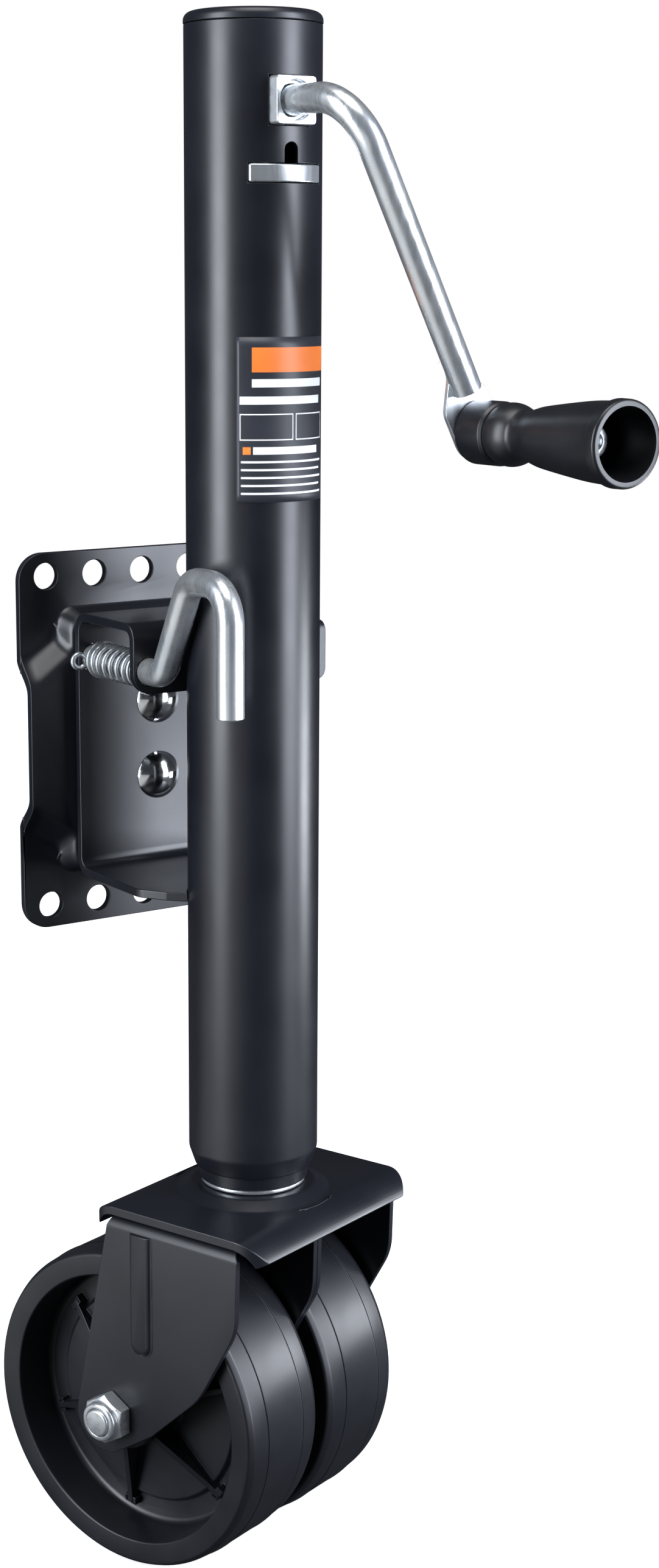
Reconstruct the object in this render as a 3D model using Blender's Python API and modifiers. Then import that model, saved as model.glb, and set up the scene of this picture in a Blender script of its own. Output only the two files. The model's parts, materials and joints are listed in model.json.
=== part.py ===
"""A side-wind swivel trailer jack, built from separate pieces.

The jack's own frame has the outer tube on Z, the ground at z = 0, the crank towards -Y and the
mounting plate towards +Y. The row's origin is on the mounting plane, in the plate's upper land.
"""

import math

import bmesh
import bpy
from mathutils import Matrix, Vector

MM = 0.001
GAP = 0.3 * MM

# Outer tube and leg
TUBE_R = 30 * MM
TUBE_BORE_R = 27.4 * MM
TUBE_BOTTOM = 193.3 * MM
TUBE_TOP = 705.7 * MM
TUBE_MOUTH_R = 25.75 * MM
SWAGE = 5.5 * MM
CAP_R = 30.2 * MM
CAP_TOP = 711 * MM
LEG_R = 25.4 * MM
LEG_BORE_R = 22.4 * MM
LEG_BOTTOM = 187.2 * MM
LABEL_LOW = 504 * MM
LABEL_HIGH = 574.7 * MM
LABEL_WRAP = math.radians(94)

# Crank, its bushings and the bevel gears
CRANK_Z = 672.9 * MM
ROD_R = 6.35 * MM
CORNER_Y = -74.5 * MM
CORNER_RADIUS = 22 * MM
ARM = 156 * MM
ARM_LEAN = math.radians(27)
TONGUE = 2.5 * MM
TONGUE_FRONT = CORNER_Y + ROD_R - TONGUE
TONGUE_HALF = 12.5 * MM
BUSHING = 20 * MM
SHAFT_BORE_R = ROD_R + GAP
PINION_PIN_Y = -10.5 * MM
ROLL_PIN_R = 2 * MM
ROLL_PIN_HOLE_R = ROLL_PIN_R + GAP
PINION_TEETH = 12
GEAR_TEETH = 18
PINION_PITCH_R = 14 * MM
GEAR_PITCH_R = PINION_PITCH_R * GEAR_TEETH / PINION_TEETH
ADDENDUM = 1.75 * MM
DEDENDUM = 2.6 * MM
FACE_SHARE = 0.3
GEAR_HUB_DROP = 25.6 * MM
GRIP_LENGTH = 97 * MM
GRIP_BORE_R = 4.4 * MM
GRIP_BOLT_R = 4 * MM
HEAD_SEAT = 71.5 * MM

# Bearing plate, lead screw and thrust bearing, from the crank's axis down
PLATE_HIGH = CRANK_Z - GEAR_HUB_DROP - 0.4 * MM
PLATE_LOW = PLATE_HIGH - 7.6 * MM
PLATE_HALF = 17.8 * MM
RACE = 2.2 * MM
RACE_R = 15 * MM
UPPER_RACE_LOW = PLATE_LOW - GAP - RACE
CAGE_Z = UPPER_RACE_LOW - 3.1 * MM
LOWER_RACE_LOW = CAGE_Z - 3.1 * MM - RACE
COLLAR_TOP = LOWER_RACE_LOW - GAP
COLLAR = 5 * MM
SCREW_R = 8 * MM
SCREW_TOP = CRANK_Z - 10 * MM
SCREW_BOTTOM = 272.5 * MM
THREAD_TOP = COLLAR_TOP - 13.5 * MM
LEAD = 5.08 * MM
THREAD_DEPTH = 1.6 * MM
GEAR_PIN_Z = CRANK_Z - 22.5 * MM
LEG_TOP = COLLAR_TOP - COLLAR - 6.5 * MM

# Mounting plate and swivel
PIVOT_Z = 382.5 * MM
MOUNT_Y = 102.3 * MM
SHEET = 4 * MM
PLATE_X = 66.4 * MM
PLATE_Z = 90.5 * MM
PLATE_CORNER = 13 * MM
PAN_RISE = 10 * MM
PAN_FRONT = MOUNT_Y - SHEET - PAN_RISE
HOLE_PITCH = 26 * MM
HOLE_ROW = 79.5 * MM
HOLE_R = 6.3 * MM
SPACER_R = 27.5 * MM
WEB_Y = PAN_FRONT - GAP - SHEET
BRACKET_X = 43 * MM
EAR_X = 38.5 * MM
BRACKET_LOW = 319.5 * MM
BRACKET_HIGH = 446 * MM
RIVET_RISE = 18.5 * MM
RIVET_HOLE_R = 5.3 * MM

# Pull pin
PIN_X = -35 * MM
PIN_Z = 424 * MM
PIN_R = 6.2 * MM
PIN_TIP = WEB_Y + SHEET - 0.2 * MM
TAB_Y = 35 * MM
COTTER_Y = WEB_Y - 6.6 * MM
SPRING_R = 7.7 * MM
SPRING_WIRE_R = 0.95 * MM
SPRING_COILS = 7

# Caster, in a frame turned about Z: X is the axle, Y runs backwards
CASTER_TURN = math.radians(19.5)
WHEEL_R = 78 * MM
AXLE_Z = WHEEL_R
TRAIL = 35 * MM
AXLE_R = 6.5 * MM
CASTER_TOP = 180.6 * MM
CASTER_SHEET = 4.3 * MM
CASTER_X = 61.4 * MM
FLAT_Y = 34.7 * MM
LIP_RADIUS = 16 * MM
LIP_TURN = math.radians(68)
BOSS_TOP = 184.4 * MM
STEM_R = 12 * MM
FORK_SHEET = 3 * MM
FORK_TOP = CASTER_TOP - CASTER_SHEET - 0.4 * MM
FORK_OUT = 62 * MM
WHEEL_HALF = 25.8 * MM
WHEEL_X = 30.4 * MM
HUB_HALF = 25.4 * MM
RIB_TURN = math.radians(10)

ORIGIN = Vector((0, MOUNT_Y, PIVOT_Z + 66 * MM))

QUARTER = math.pi / 2
FACING_FRONT = (QUARTER, 0, 0)
FACING_BACK = (-QUARTER, 0, 0)
FACING_RIGHT = (0, QUARTER, 0)
SIDEWAYS = (QUARTER, 0, QUARTER)

FINISHES = {
    "black paint": ((0.012, 0.013, 0.018), 0.32, 0.0),
    "bright zinc": ((0.62, 0.66, 0.70), 0.25, 1.0),
    "polished steel": ((0.55, 0.57, 0.58), 0.12, 1.0),
    "dark steel": ((0.20, 0.20, 0.21), 0.40, 1.0),
    "black plastic": ((0.015, 0.015, 0.018), 0.45, 0.0),
    "white nylon": ((0.70, 0.69, 0.64), 0.50, 0.0),
    "bronze": ((0.55, 0.36, 0.16), 0.35, 1.0),
    "orange label": ((0.85, 0.20, 0.02), 0.40, 0.0),
}


# Collections, materials and placing


def new_collection(name):
    collection = bpy.data.collections.new(name)
    bpy.context.scene.collection.children.link(collection)
    return collection


for old in list(bpy.data.objects):
    bpy.data.objects.remove(old, do_unlink=True)
PARTS = new_collection("tongue_jack")
CUTTERS = new_collection("cutters")
CUTTERS.hide_render = True
PLACES = {}


def add_joint(name, at, above=None, turn=0.0):
    """An empty on a joint's axis; `at` is in the jack's frame, or in its parent's where that is turned."""
    joint = bpy.data.objects.new(name, None)
    joint.empty_display_size = 0.03
    PARTS.objects.link(joint)
    joint.parent = above
    joint.location = Vector(at) - (PLACES[above.name] if above else Vector())
    joint.rotation_euler = (0, 0, turn)
    PLACES[name] = Vector(at)
    return joint


def add(name, mesh):
    obj = bpy.data.objects.new(name, mesh)
    PARTS.objects.link(obj)
    return obj


def place(obj, joint, at=(0, 0, 0), turn=(0, 0, 0)):
    """Hangs a piece on a joint's empty, with its own origin at `at` in the jack's frame."""
    obj.parent = joint
    obj.location = Vector(at) - PLACES[joint.name]
    obj.rotation_euler = turn
    return obj


def paint(obj, finish):
    color, roughness, metallic = FINISHES[finish]
    material = bpy.data.materials.new(f"{obj.name} {finish}")
    material.use_nodes = True
    shader = material.node_tree.nodes["Principled BSDF"]
    shader.inputs["Base Color"].default_value = (*color, 1)
    shader.inputs["Roughness"].default_value = roughness
    shader.inputs["Metallic"].default_value = metallic
    material.diffuse_color = (*color, 1)
    obj.data.materials.clear()
    obj.data.materials.append(material)
    return obj


def as_cutter(obj):
    PARTS.objects.unlink(obj)
    CUTTERS.objects.link(obj)
    obj.hide_render = True
    obj.display_type = "WIRE"
    return obj


def combine(obj, other, operation):
    modifier = obj.modifiers.new(f"{operation.title()} {other.name}", "BOOLEAN")
    modifier.operation = operation
    modifier.object = as_cutter(other)
    return obj


def cut(obj, *others):
    for other in others:
        combine(obj, other, "DIFFERENCE")
    return obj


def join(obj, *others):
    for other in others:
        combine(obj, other, "UNION")
    return obj


# Outlines


def arc(x, y, radius, start, end, steps):
    """Points on an arc, with its angles in degrees."""
    turns = [math.radians(start + (end - start) * i / steps) for i in range(steps + 1)]
    return [(x + radius * math.cos(a), y + radius * math.sin(a)) for a in turns]


def rounded(corners, steps=4):
    """A polyline or outline whose corners are (point, radius); a radius of 0 keeps the corner.

    The points may have two or three coordinates. A first or last point with a radius takes the
    other end as its neighbour, as on a closed outline.
    """
    points = [Vector(p).to_3d() for p, _ in corners]
    radii = [radius for _, radius in corners]
    count = len(points)
    path = []
    for i, (corner, radius) in enumerate(zip(points, radii)):
        if not radius:
            path.append(corner)
            continue
        u = (points[i - 1] - corner).normalized()
        v = (points[(i + 1) % count] - corner).normalized()
        half = u.angle(v) / 2
        centre = corner + (u + v).normalized() * radius / math.sin(half)
        start = corner + u * radius / math.tan(half) - centre
        end = corner + v * radius / math.tan(half) - centre
        sweep = start.angle(end)
        for k in range(steps + 1):
            share = k / steps
            a = math.sin((1 - share) * sweep) / math.sin(sweep)
            b = math.sin(share * sweep) / math.sin(sweep)
            path.append(centre + start * a + end * b)
    return path


def rounded_rectangle(half_x, half_y, radius, steps=4, x=0.0, y=0.0):
    corners = [
        ((x + sx * half_x, y + sy * half_y), radius)
        for sx, sy in ((-1, -1), (1, -1), (1, 1), (-1, 1))
    ]
    return rounded(corners, steps)


def circle(x, y, radius, steps=20):
    half_step = 180 / steps
    return arc(x, y, radius, half_step, 360 - half_step, steps - 1)


# Shapes


def mesh_from(name, made):
    mesh = bpy.data.meshes.new(name)
    bmesh.ops.recalc_face_normals(made, faces=made.faces)
    made.to_mesh(mesh)
    made.free()
    mesh.shade_smooth()
    mesh.set_sharp_from_angle(angle=math.radians(35))
    return mesh


def cylinder(name, radius, length, segments=24, tip=None):
    """A cylinder on Z from z = 0 up."""
    made = bmesh.new()
    bmesh.ops.create_cone(
        made,
        cap_ends=True,
        segments=segments,
        radius1=radius,
        radius2=radius if tip is None else tip,
        depth=length,
        matrix=Matrix.Translation((0, 0, length / 2)),
    )
    return add(name, mesh_from(name, made))


def block(name, low, high):
    """A box between two corners."""
    low, high = Vector(low), Vector(high)
    made = bmesh.new()
    bmesh.ops.create_cube(
        made,
        size=1,
        matrix=Matrix.Translation((low + high) / 2) @ Matrix.Diagonal((*(high - low), 1)),
    )
    return add(name, mesh_from(name, made))


def turned(name, profile, steps=32, ring=False, angle=2 * math.pi):
    """A profile of (radius, z) turned about Z. It runs down the outer side, top to bottom."""
    count = len(profile)
    edges = [(i, i + 1) for i in range(count - 1)] + ([(count - 1, 0)] if ring else [])
    mesh = bpy.data.meshes.new(name)
    mesh.from_pydata([(r, 0, z) for r, z in profile], edges, [])
    obj = add(name, mesh)
    screw = obj.modifiers.new("Turn", "SCREW")
    screw.steps = screw.render_steps = steps
    screw.angle = angle
    screw.use_merge_vertices = angle == 2 * math.pi
    screw.merge_threshold = 1e-5
    screw.use_smooth_shade = True
    return obj


def ring(name, outer, inner, low, high, steps=20):
    profile = [(outer, high), (outer, low), (inner, low), (inner, high)]
    return turned(name, profile, steps, ring=True)


def mesh_of_curve(name, curve):
    """The curve's shape as a mesh whose caps are welded to its sides."""
    source = bpy.data.objects.new(name + " curve", curve)
    PARTS.objects.link(source)
    graph = bpy.context.evaluated_depsgraph_get()
    mesh = bpy.data.meshes.new_from_object(source.evaluated_get(graph))
    bpy.data.objects.remove(source, do_unlink=True)
    made = bmesh.new()
    made.from_mesh(mesh)
    bmesh.ops.remove_doubles(made, verts=made.verts, dist=1e-6)
    bpy.data.meshes.remove(mesh)
    return mesh_from(name, made)


def add_spline(curve, points, cyclic):
    spline = curve.splines.new("POLY")
    spline.points.add(len(points) - 1)
    for slot, point in zip(spline.points, points):
        slot.co = (*Vector(point).to_3d(), 1)
    spline.use_cyclic_u = cyclic


def sheet(name, outline, thickness, holes=()):
    """A flat plate on the XY plane, half its thickness to each side, with holes through it."""
    curve = bpy.data.curves.new(name, "CURVE")
    curve.dimensions = "2D"
    curve.fill_mode = "BOTH"
    curve.extrude = thickness / 2
    for points in (outline, *holes):
        add_spline(curve, points, cyclic=True)
    return add(name, mesh_of_curve(name, curve))


def wire(name, points, radius, resolution=2):
    curve = bpy.data.curves.new(name, "CURVE")
    curve.dimensions = "3D"
    curve.bevel_depth = radius
    curve.bevel_resolution = resolution
    curve.use_fill_caps = True
    add_spline(curve, points, cyclic=False)
    return add(name, mesh_of_curve(name, curve))


def loft(name, sections):
    """A closed solid through unlike sections of as many points each."""
    made = bmesh.new()
    loops = [[made.verts.new(p) for p in section] for section in sections]
    count = len(loops[0])
    for near, far in zip(loops, loops[1:]):
        for i in range(count):
            made.faces.new((near[i], near[(i + 1) % count], far[(i + 1) % count], far[i]))
    made.faces.new(loops[0])
    made.faces.new(loops[-1])
    return add(name, mesh_from(name, made))


def hex_nut(name, flats, height, bore):
    """A nut on Z from z = 0 up."""
    nut = cylinder(name, flats / math.sqrt(3), height, 6)
    hole = cylinder(name + " bore", bore, 3 * height, 16)
    hole.location = (0, 0, -height)
    hole.parent = nut
    return cut(nut, hole)


# Outer tube and what is fixed in it


def outer_tube(jack):
    profile = [
        (TUBE_R, TUBE_TOP),
        (TUBE_R, TUBE_BOTTOM + SWAGE),
        (TUBE_MOUTH_R + 1.4 * MM, TUBE_BOTTOM),
        (TUBE_MOUTH_R, TUBE_BOTTOM),
        (TUBE_MOUTH_R, TUBE_BOTTOM + SWAGE),
        (TUBE_BORE_R, TUBE_BOTTOM + 2 * SWAGE),
        (TUBE_BORE_R, TUBE_TOP),
    ]
    tube = place(turned("outer_tube", profile, 36, ring=True), jack)
    window = BUSHING / 2 + GAP
    square = block("bushing window", (-window, -40 * MM, -window), (window, -20 * MM, window))
    rear = cylinder("rear bushing hole", 8.3 * MM, 20 * MM)
    slot_x, slot_y = PLATE_HALF + GAP, 40 * MM
    slot = block(
        "bearing plate slot",
        (-slot_x, -slot_y, PLATE_LOW - GAP),
        (slot_x, slot_y, PLATE_HIGH + GAP),
    )
    half = 3.4 * MM
    arch = arc(0, 0, half, 0, 180, 8) + [(-half, -8 * MM), (half, -8 * MM)]
    notch = sheet("notch", arch, 20 * MM)
    place(square, jack, (0, 0, CRANK_Z))
    place(rear, jack, (0, 20 * MM, CRANK_Z), FACING_BACK)
    place(slot, jack)
    place(notch, jack, (0, -30 * MM, PLATE_HIGH + 5.6 * MM), FACING_FRONT)
    cut(tube, square, rear, slot, notch)
    return paint(tube, "black paint")


def top_cap(jack):
    edge = arc(CAP_R - 4 * MM, CAP_TOP - 4.6 * MM, 4 * MM, 88, 0, 4)
    profile = [(0, CAP_TOP), *edge]
    profile += [
        (CAP_R, TUBE_TOP + GAP),
        (TUBE_BORE_R - GAP, TUBE_TOP + GAP),
        (TUBE_BORE_R - GAP, TUBE_TOP - 11 * MM),
        (TUBE_BORE_R - 3 * MM, TUBE_TOP - 11 * MM),
        (TUBE_BORE_R - 3 * MM, TUBE_TOP - 2 * MM),
        (0, TUBE_TOP - 2 * MM),
    ]
    return paint(place(turned("top_cap", profile, 36), jack), "black paint")


def front_bushing(jack):
    half = BUSHING / 2
    bushing = block("front_shaft_bushing", (-half, -34 * MM, -half), (half, -25.6 * MM, half))
    bore = cylinder("front bore", SHAFT_BORE_R, 30 * MM)
    mouth = cylinder("front mouth", 8.2 * MM, 12 * MM)
    place(bushing, jack, (0, 0, CRANK_Z))
    place(bore, jack, (0, -15 * MM, CRANK_Z), FACING_FRONT)
    place(mouth, jack, (0, -32 * MM, CRANK_Z), FACING_FRONT)
    cut(bushing, bore, mouth)
    return paint(bushing, "bright zinc")


def rear_bushing(jack):
    profile = [
        (10 * MM, 32.3 * MM),
        (10 * MM, 30.3 * MM),
        (8 * MM, 30.3 * MM),
        (8 * MM, 25.5 * MM),
        (SHAFT_BORE_R, 25.5 * MM),
        (SHAFT_BORE_R, 32.3 * MM),
    ]
    bushing = turned("rear_shaft_bushing", profile, 24, ring=True)
    return paint(place(bushing, jack, (0, 0, CRANK_Z), FACING_BACK), "bright zinc")


def bearing_plate(jack):
    plate = cylinder("bearing_plate", TUBE_R + GAP, PLATE_HIGH - PLATE_LOW, 48)
    place(plate, jack, (0, 0, PLATE_LOW))
    far, tall = 40 * MM, 20 * MM
    for side in (-1, 1):
        edges = sorted((side * PLATE_HALF, side * far))
        off = block(f"bearing plate side {side}", (edges[0], -far, -tall), (edges[1], far, tall))
        cut(plate, place(off, jack, (0, 0, PLATE_LOW)))
    hole = cylinder("bearing plate hole", SCREW_R + 0.7 * MM, 40 * MM)
    cut(plate, place(hole, jack, (0, 0, PLATE_LOW - 10 * MM)))
    return paint(plate, "bright zinc")


def upper_race(jack):
    low = UPPER_RACE_LOW
    race = ring("thrust_race_upper", RACE_R, SCREW_R + 0.6 * MM, low, low + RACE)
    return paint(place(race, jack), "dark steel")


def label(jack):
    mesh = bpy.data.meshes.new("label")
    start = -QUARTER - LABEL_WRAP / 2
    radius = TUBE_R + GAP
    side = (radius * math.cos(start), radius * math.sin(start))
    mesh.from_pydata([(*side, LABEL_HIGH), (*side, LABEL_LOW)], [(0, 1)], [])
    obj = add("label", mesh)
    screw = obj.modifiers.new("Wrap", "SCREW")
    screw.angle = LABEL_WRAP
    screw.steps = screw.render_steps = 14
    solidify = obj.modifiers.new("Thickness", "SOLIDIFY")
    solidify.thickness = 0.4 * MM
    solidify.offset = 1
    return paint(place(obj, jack), "orange label")


# Swivel bracket and its pivot


def bracket_top():
    """The upper flange: square at the left, where the tab bends down, and longer at the right."""
    hug = TUBE_R + GAP
    front = TAB_Y - SHEET / 2
    outline = [(-BRACKET_X, WEB_Y + 2 * MM), (-BRACKET_X, front), (-11 * MM, front)]
    outline += arc(0, 0, hug, 105, -4, 10)
    outline += [(EAR_X, -2 * MM), (EAR_X, 14 * MM), (BRACKET_X, 22 * MM)]
    outline.append((BRACKET_X, WEB_Y + 2 * MM))
    return sheet("bracket top flange", outline, SHEET)


def bracket_bottom():
    hug = TUBE_R + GAP
    right = rounded(
        [
            ((BRACKET_X, WEB_Y + 2 * MM), 0),
            ((BRACKET_X, 31 * MM), 9 * MM),
            ((34 * MM, 20 * MM), 5 * MM),
            ((27.6 * MM, 12.5 * MM), 0),
        ]
    )
    left = [(-p.x, p.y) for p in reversed(right)]
    hugging = arc(0, 0, hug, 30, 150, 10)
    return sheet("bracket bottom flange", right[:-1] + hugging + left[1:], SHEET)


def swivel_bracket(jack):
    middle = (BRACKET_LOW + BRACKET_HIGH) / 2
    half = (BRACKET_HIGH - BRACKET_LOW) / 2
    rise = PIVOT_Z - middle
    holes = [circle(0, rise + side * RIVET_RISE, RIVET_HOLE_R, 16) for side in (-1, 1)]
    holes.append(circle(PIN_X, PIN_Z - middle, PIN_R + 0.4 * MM, 16))
    web = sheet("swivel_bracket", rounded_rectangle(BRACKET_X, half, 3 * MM), SHEET, holes)
    place(web, jack, (0, WEB_Y + SHEET / 2, middle), FACING_FRONT)
    top = place(bracket_top(), jack, (0, 0, BRACKET_HIGH - SHEET / 2))
    bottom = place(bracket_bottom(), jack, (0, 0, BRACKET_LOW + SHEET / 2))
    tab_corners = [
        ((-BRACKET_X, 1 * MM), 0),
        ((-BRACKET_X, -31 * MM), 9 * MM),
        ((-11 * MM, -31 * MM), 2 * MM),
        ((-11 * MM, 1 * MM), 0),
    ]
    tab_outline = rounded(tab_corners, 5)
    tab_hole = circle(PIN_X, PIN_Z - BRACKET_HIGH + SHEET / 2, PIN_R + 0.5 * MM, 16)
    tab = sheet("bracket tab", tab_outline, SHEET, [tab_hole])
    place(tab, jack, (0, TAB_Y, BRACKET_HIGH - SHEET / 2), FACING_FRONT)
    ear_corners = [
        ((31 * MM, 1 * MM), 0),
        ((31 * MM, -25 * MM), 2 * MM),
        ((EAR_X, -25 * MM), 5 * MM),
        ((EAR_X, 1 * MM), 0),
    ]
    ear = sheet("bracket ear", rounded(ear_corners), SHEET)
    place(ear, jack, (0, 0, BRACKET_HIGH - SHEET / 2), FACING_FRONT)
    join(web, top, bottom, tab, ear)
    return paint(web, "black paint")


def pivot_disc(name, radius, near, far, jack):
    """A disc on the pivot axis, from y = near to y = far, with the two rivet holes."""
    holes = [circle(0, side * RIVET_RISE, RIVET_HOLE_R, 16) for side in (-1, 1)]
    disc = sheet(name, circle(0, 0, radius, 40), far - near, holes)
    return place(disc, jack, (0, (near + far) / 2, PIVOT_Z), FACING_FRONT)


def pivot_pieces(jack):
    web_back = WEB_Y + SHEET
    spacer_back = web_back + GAP + 4.2 * MM
    retainer_back = spacer_back + GAP + 3.4 * MM
    paint(pivot_disc("pivot_spacer", SPACER_R, web_back + GAP, spacer_back, jack), "dark steel")
    retainer = pivot_disc("pivot_retainer", 34 * MM, spacer_back + GAP, retainer_back, jack)
    paint(retainer, "dark steel")
    front, back = WEB_Y - GAP, retainer_back + GAP
    for name, side in (("pivot_rivet_upper", 1), ("pivot_rivet_lower", -1)):
        rise = 6.2 * MM
        wide = 11.5 * MM
        sphere = (wide * wide + rise * rise) / (2 * rise)
        start = 90 - math.degrees(math.asin(wide / sphere))
        dome = arc(0, front - rise + sphere, sphere, -90, -start, 4)
        profile = [(8 * MM, back), (5 * MM, back), (5 * MM, front), *reversed(dome)]
        profile = [(0, back + 2.6 * MM), (7 * MM, back + 2.6 * MM), *profile]
        profile[-1] = (0, front - rise)
        rivet = turned(name, profile, 20)
        place(rivet, jack, (0, 0, PIVOT_Z + side * RIVET_RISE), FACING_BACK)
        paint(rivet, "polished steel")


# Mounting plate


def pan_outline(inset, side_low, side_high, y):
    """The raised pan's edge at depth `y`: it runs off both sides between -side_low and side_low."""
    narrow, tall, wide = 47 * MM - inset, 64 * MM - inset, 80 * MM
    quarter = [((wide, side_low), 0), ((PLATE_X - 4 * MM, side_low), 8 * MM)]
    quarter += [((narrow, side_high), 6 * MM), ((narrow, tall), 8 * MM)]
    upper = quarter + [((-x, z), r) for (x, z), r in reversed(quarter)]
    lower = [((-x, -z), r) for (x, z), r in upper]
    return [(p.x, y, p.y) for p in rounded(upper + lower, 3)]


def pan(name, wall, front, back):
    """The pan's solid, or its hollow where `wall` is more than 0, from y = front to y = back."""
    slope = 3.5 * MM
    top = pan_outline(slope + wall, 29 * MM - wall, 43 * MM - wall, front)
    foot = [pan_outline(wall, 40 * MM - wall, 50 * MM - wall, y) for y in back]
    return loft(name, [top, *foot])


def mounting_plate(mount):
    holes = [
        circle(column * HOLE_PITCH, row * HOLE_ROW, HOLE_R, 16)
        for column in (-2, -1, 0, 1, 2)
        for row in (-1, 1)
    ]
    outline = rounded_rectangle(PLATE_X, PLATE_Z, PLATE_CORNER)
    plate = sheet("mounting_plate", outline, SHEET, holes)
    place(plate, mount, (0, MOUNT_Y - SHEET / 2, PIVOT_Z), FACING_FRONT)
    land = MOUNT_Y - SHEET
    raised = pan("pan", 0, PAN_FRONT, [land + 1.3 * MM])
    inside = rounded_rectangle(PLATE_X - 0.2 * MM, PLATE_Z - 0.2 * MM, PLATE_CORNER)
    bounds = sheet("pan bounds", inside, 60 * MM)
    place(bounds, mount, (0, MOUNT_Y, PIVOT_Z), FACING_FRONT)
    combine(place(raised, mount, (0, 0, PIVOT_Z)), bounds, "INTERSECT")
    hollow = pan("pan hollow", 1.6 * MM, PAN_FRONT + SHEET, [land + 0.6 * MM, MOUNT_Y + 9 * MM])
    place(hollow, mount, (0, 0, PIVOT_Z))
    join(plate, raised)
    cut(plate, hollow)
    through = 40 * MM
    start = MOUNT_Y - 30 * MM
    pivot_hole = cylinder("pivot hole", SPACER_R + GAP, through, 40)
    cut(plate, place(pivot_hole, mount, (0, start, PIVOT_Z), FACING_BACK))
    rise = PIN_Z - PIVOT_Z
    stops = {"level": (rise, -PIN_X), "upright": (PIN_X, rise)}
    for name, (x, z) in stops.items():
        stop = cylinder(f"pin hole {name}", PIN_R + 0.5 * MM, through, 20)
        cut(plate, place(stop, mount, (x, start, PIVOT_Z + z), FACING_BACK))
    return paint(plate, "black paint")


# Crank, pinion and grip


def arm_point(along, across, lift=0.0):
    """A place beside the crank's arm: along it from the corner, across it, and lifted along Y."""
    down, side = math.cos(ARM_LEAN), math.sin(ARM_LEAN)
    x = along * side + across * down
    z = CRANK_Z - along * down + across * side
    return Vector((x, CORNER_Y + lift, z))


def crank_arm(crank):
    rod_end = ARM - 34 * MM
    path = rounded(
        [
            ((0, 37 * MM, CRANK_Z), 0),
            ((0, CORNER_Y, CRANK_Z), CORNER_RADIUS),
            (arm_point(rod_end, 0), 0),
        ],
        8,
    )
    rod = wire("crank_arm", path, ROD_R, 4)
    tongue_lift = TONGUE_FRONT + TONGUE / 2 - CORNER_Y

    def section(along, half_width, half_depth, lift):
        turns = [2 * math.pi * i / 16 for i in range(16)]
        return [
            arm_point(along, half_width * math.cos(a), lift + half_depth * math.sin(a))
            for a in turns
        ]

    neck = loft(
        "crank neck",
        [
            section(rod_end - 4 * MM, 5.7 * MM, 5.6 * MM, 0),
            section(rod_end + 1 * MM, 5.9 * MM, 5.8 * MM, 0),
            section(rod_end + 6 * MM, 8.2 * MM, 2.4 * MM, tongue_lift * 0.6),
            section(rod_end + 14 * MM, 11.9 * MM, 1.1 * MM, tongue_lift + 0.05 * MM),
            section(rod_end + 20 * MM, 12 * MM, 0.9 * MM, tongue_lift + 0.05 * MM),
        ],
    )
    tip = [(ARM + x, y) for x, y in arc(0, 0, TONGUE_HALF, -90, 90, 10)]
    flat = [(rod_end + 13 * MM, -TONGUE_HALF), *tip, (rod_end + 13 * MM, TONGUE_HALF)]
    outline = [arm_point(along, across) for along, across in flat]
    pivot = arm_point(ARM, 0)
    tongue = sheet(
        "crank tongue",
        [(p.x, p.z) for p in outline],
        TONGUE,
        [circle(pivot.x, pivot.z, GRIP_BORE_R, 16)],
    )
    place(rod, crank)
    place(neck, crank)
    place(tongue, crank, (0, CORNER_Y + tongue_lift, 0), FACING_FRONT)
    join(rod, neck, tongue)
    hole = cylinder("pinion pin hole", ROLL_PIN_HOLE_R, 40 * MM, 12)
    cut(rod, place(hole, crank, (0, PINION_PIN_Y, CRANK_Z - 20 * MM)))
    return paint(rod, "bright zinc")


def tooth_spaces(name, teeth, pitch_r, apex_run):
    """The gaps between a straight bevel gear's teeth: wedges that all run to the apex at z = 0.

    The gear's axis is Z and its large end is at z = -apex_run.
    """
    slant = math.hypot(pitch_r, apex_run)
    sine, cosine = pitch_r / slant, apex_run / slant
    half_space = math.pi * pitch_r / teeth / 2 + 0.28 * MM
    flank = math.tan(math.radians(20))
    made = bmesh.new()
    for tooth in range(teeth):
        turn = Matrix.Rotation(2 * math.pi * (tooth + 0.5) / teeth, 3, "Z")
        ends = []
        for scale in (0.55, 1.25):
            corners = []
            for height, side in ((-DEDENDUM, -1), (-DEDENDUM, 1), (4 * MM, 1), (4 * MM, -1)):
                across = side * (half_space + height * flank)
                radius = pitch_r + height * cosine
                depth = -apex_run + height * sine
                corners.append(turn @ Vector((radius, across, depth)) * scale)
            ends.append([made.verts.new(p) for p in corners])
        near, far = ends
        for i in range(4):
            made.faces.new((near[i], near[(i + 1) % 4], far[(i + 1) % 4], far[i]))
        made.faces.new(near)
        made.faces.new(far)
    return add(name, mesh_from(name, made))


def bevel_blank(name, pitch_r, apex_run, top, bottom, steps):
    """A bevel gear's blank below its apex at z = 0; the bore's profile is `top`, then `bottom`."""
    slant = math.hypot(pitch_r, apex_run)
    sine, cosine = pitch_r / slant, apex_run / slant
    small = 1 - FACE_SHARE

    def at(height, scale):
        return ((pitch_r + height * cosine) * scale, (-apex_run + height * sine) * scale)

    outer = [at(ADDENDUM, small), at(ADDENDUM, 1), at(-DEDENDUM - 0.6 * MM, 1)]
    return turned(name, [*top, *outer, *bottom], steps, ring=True)


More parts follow.
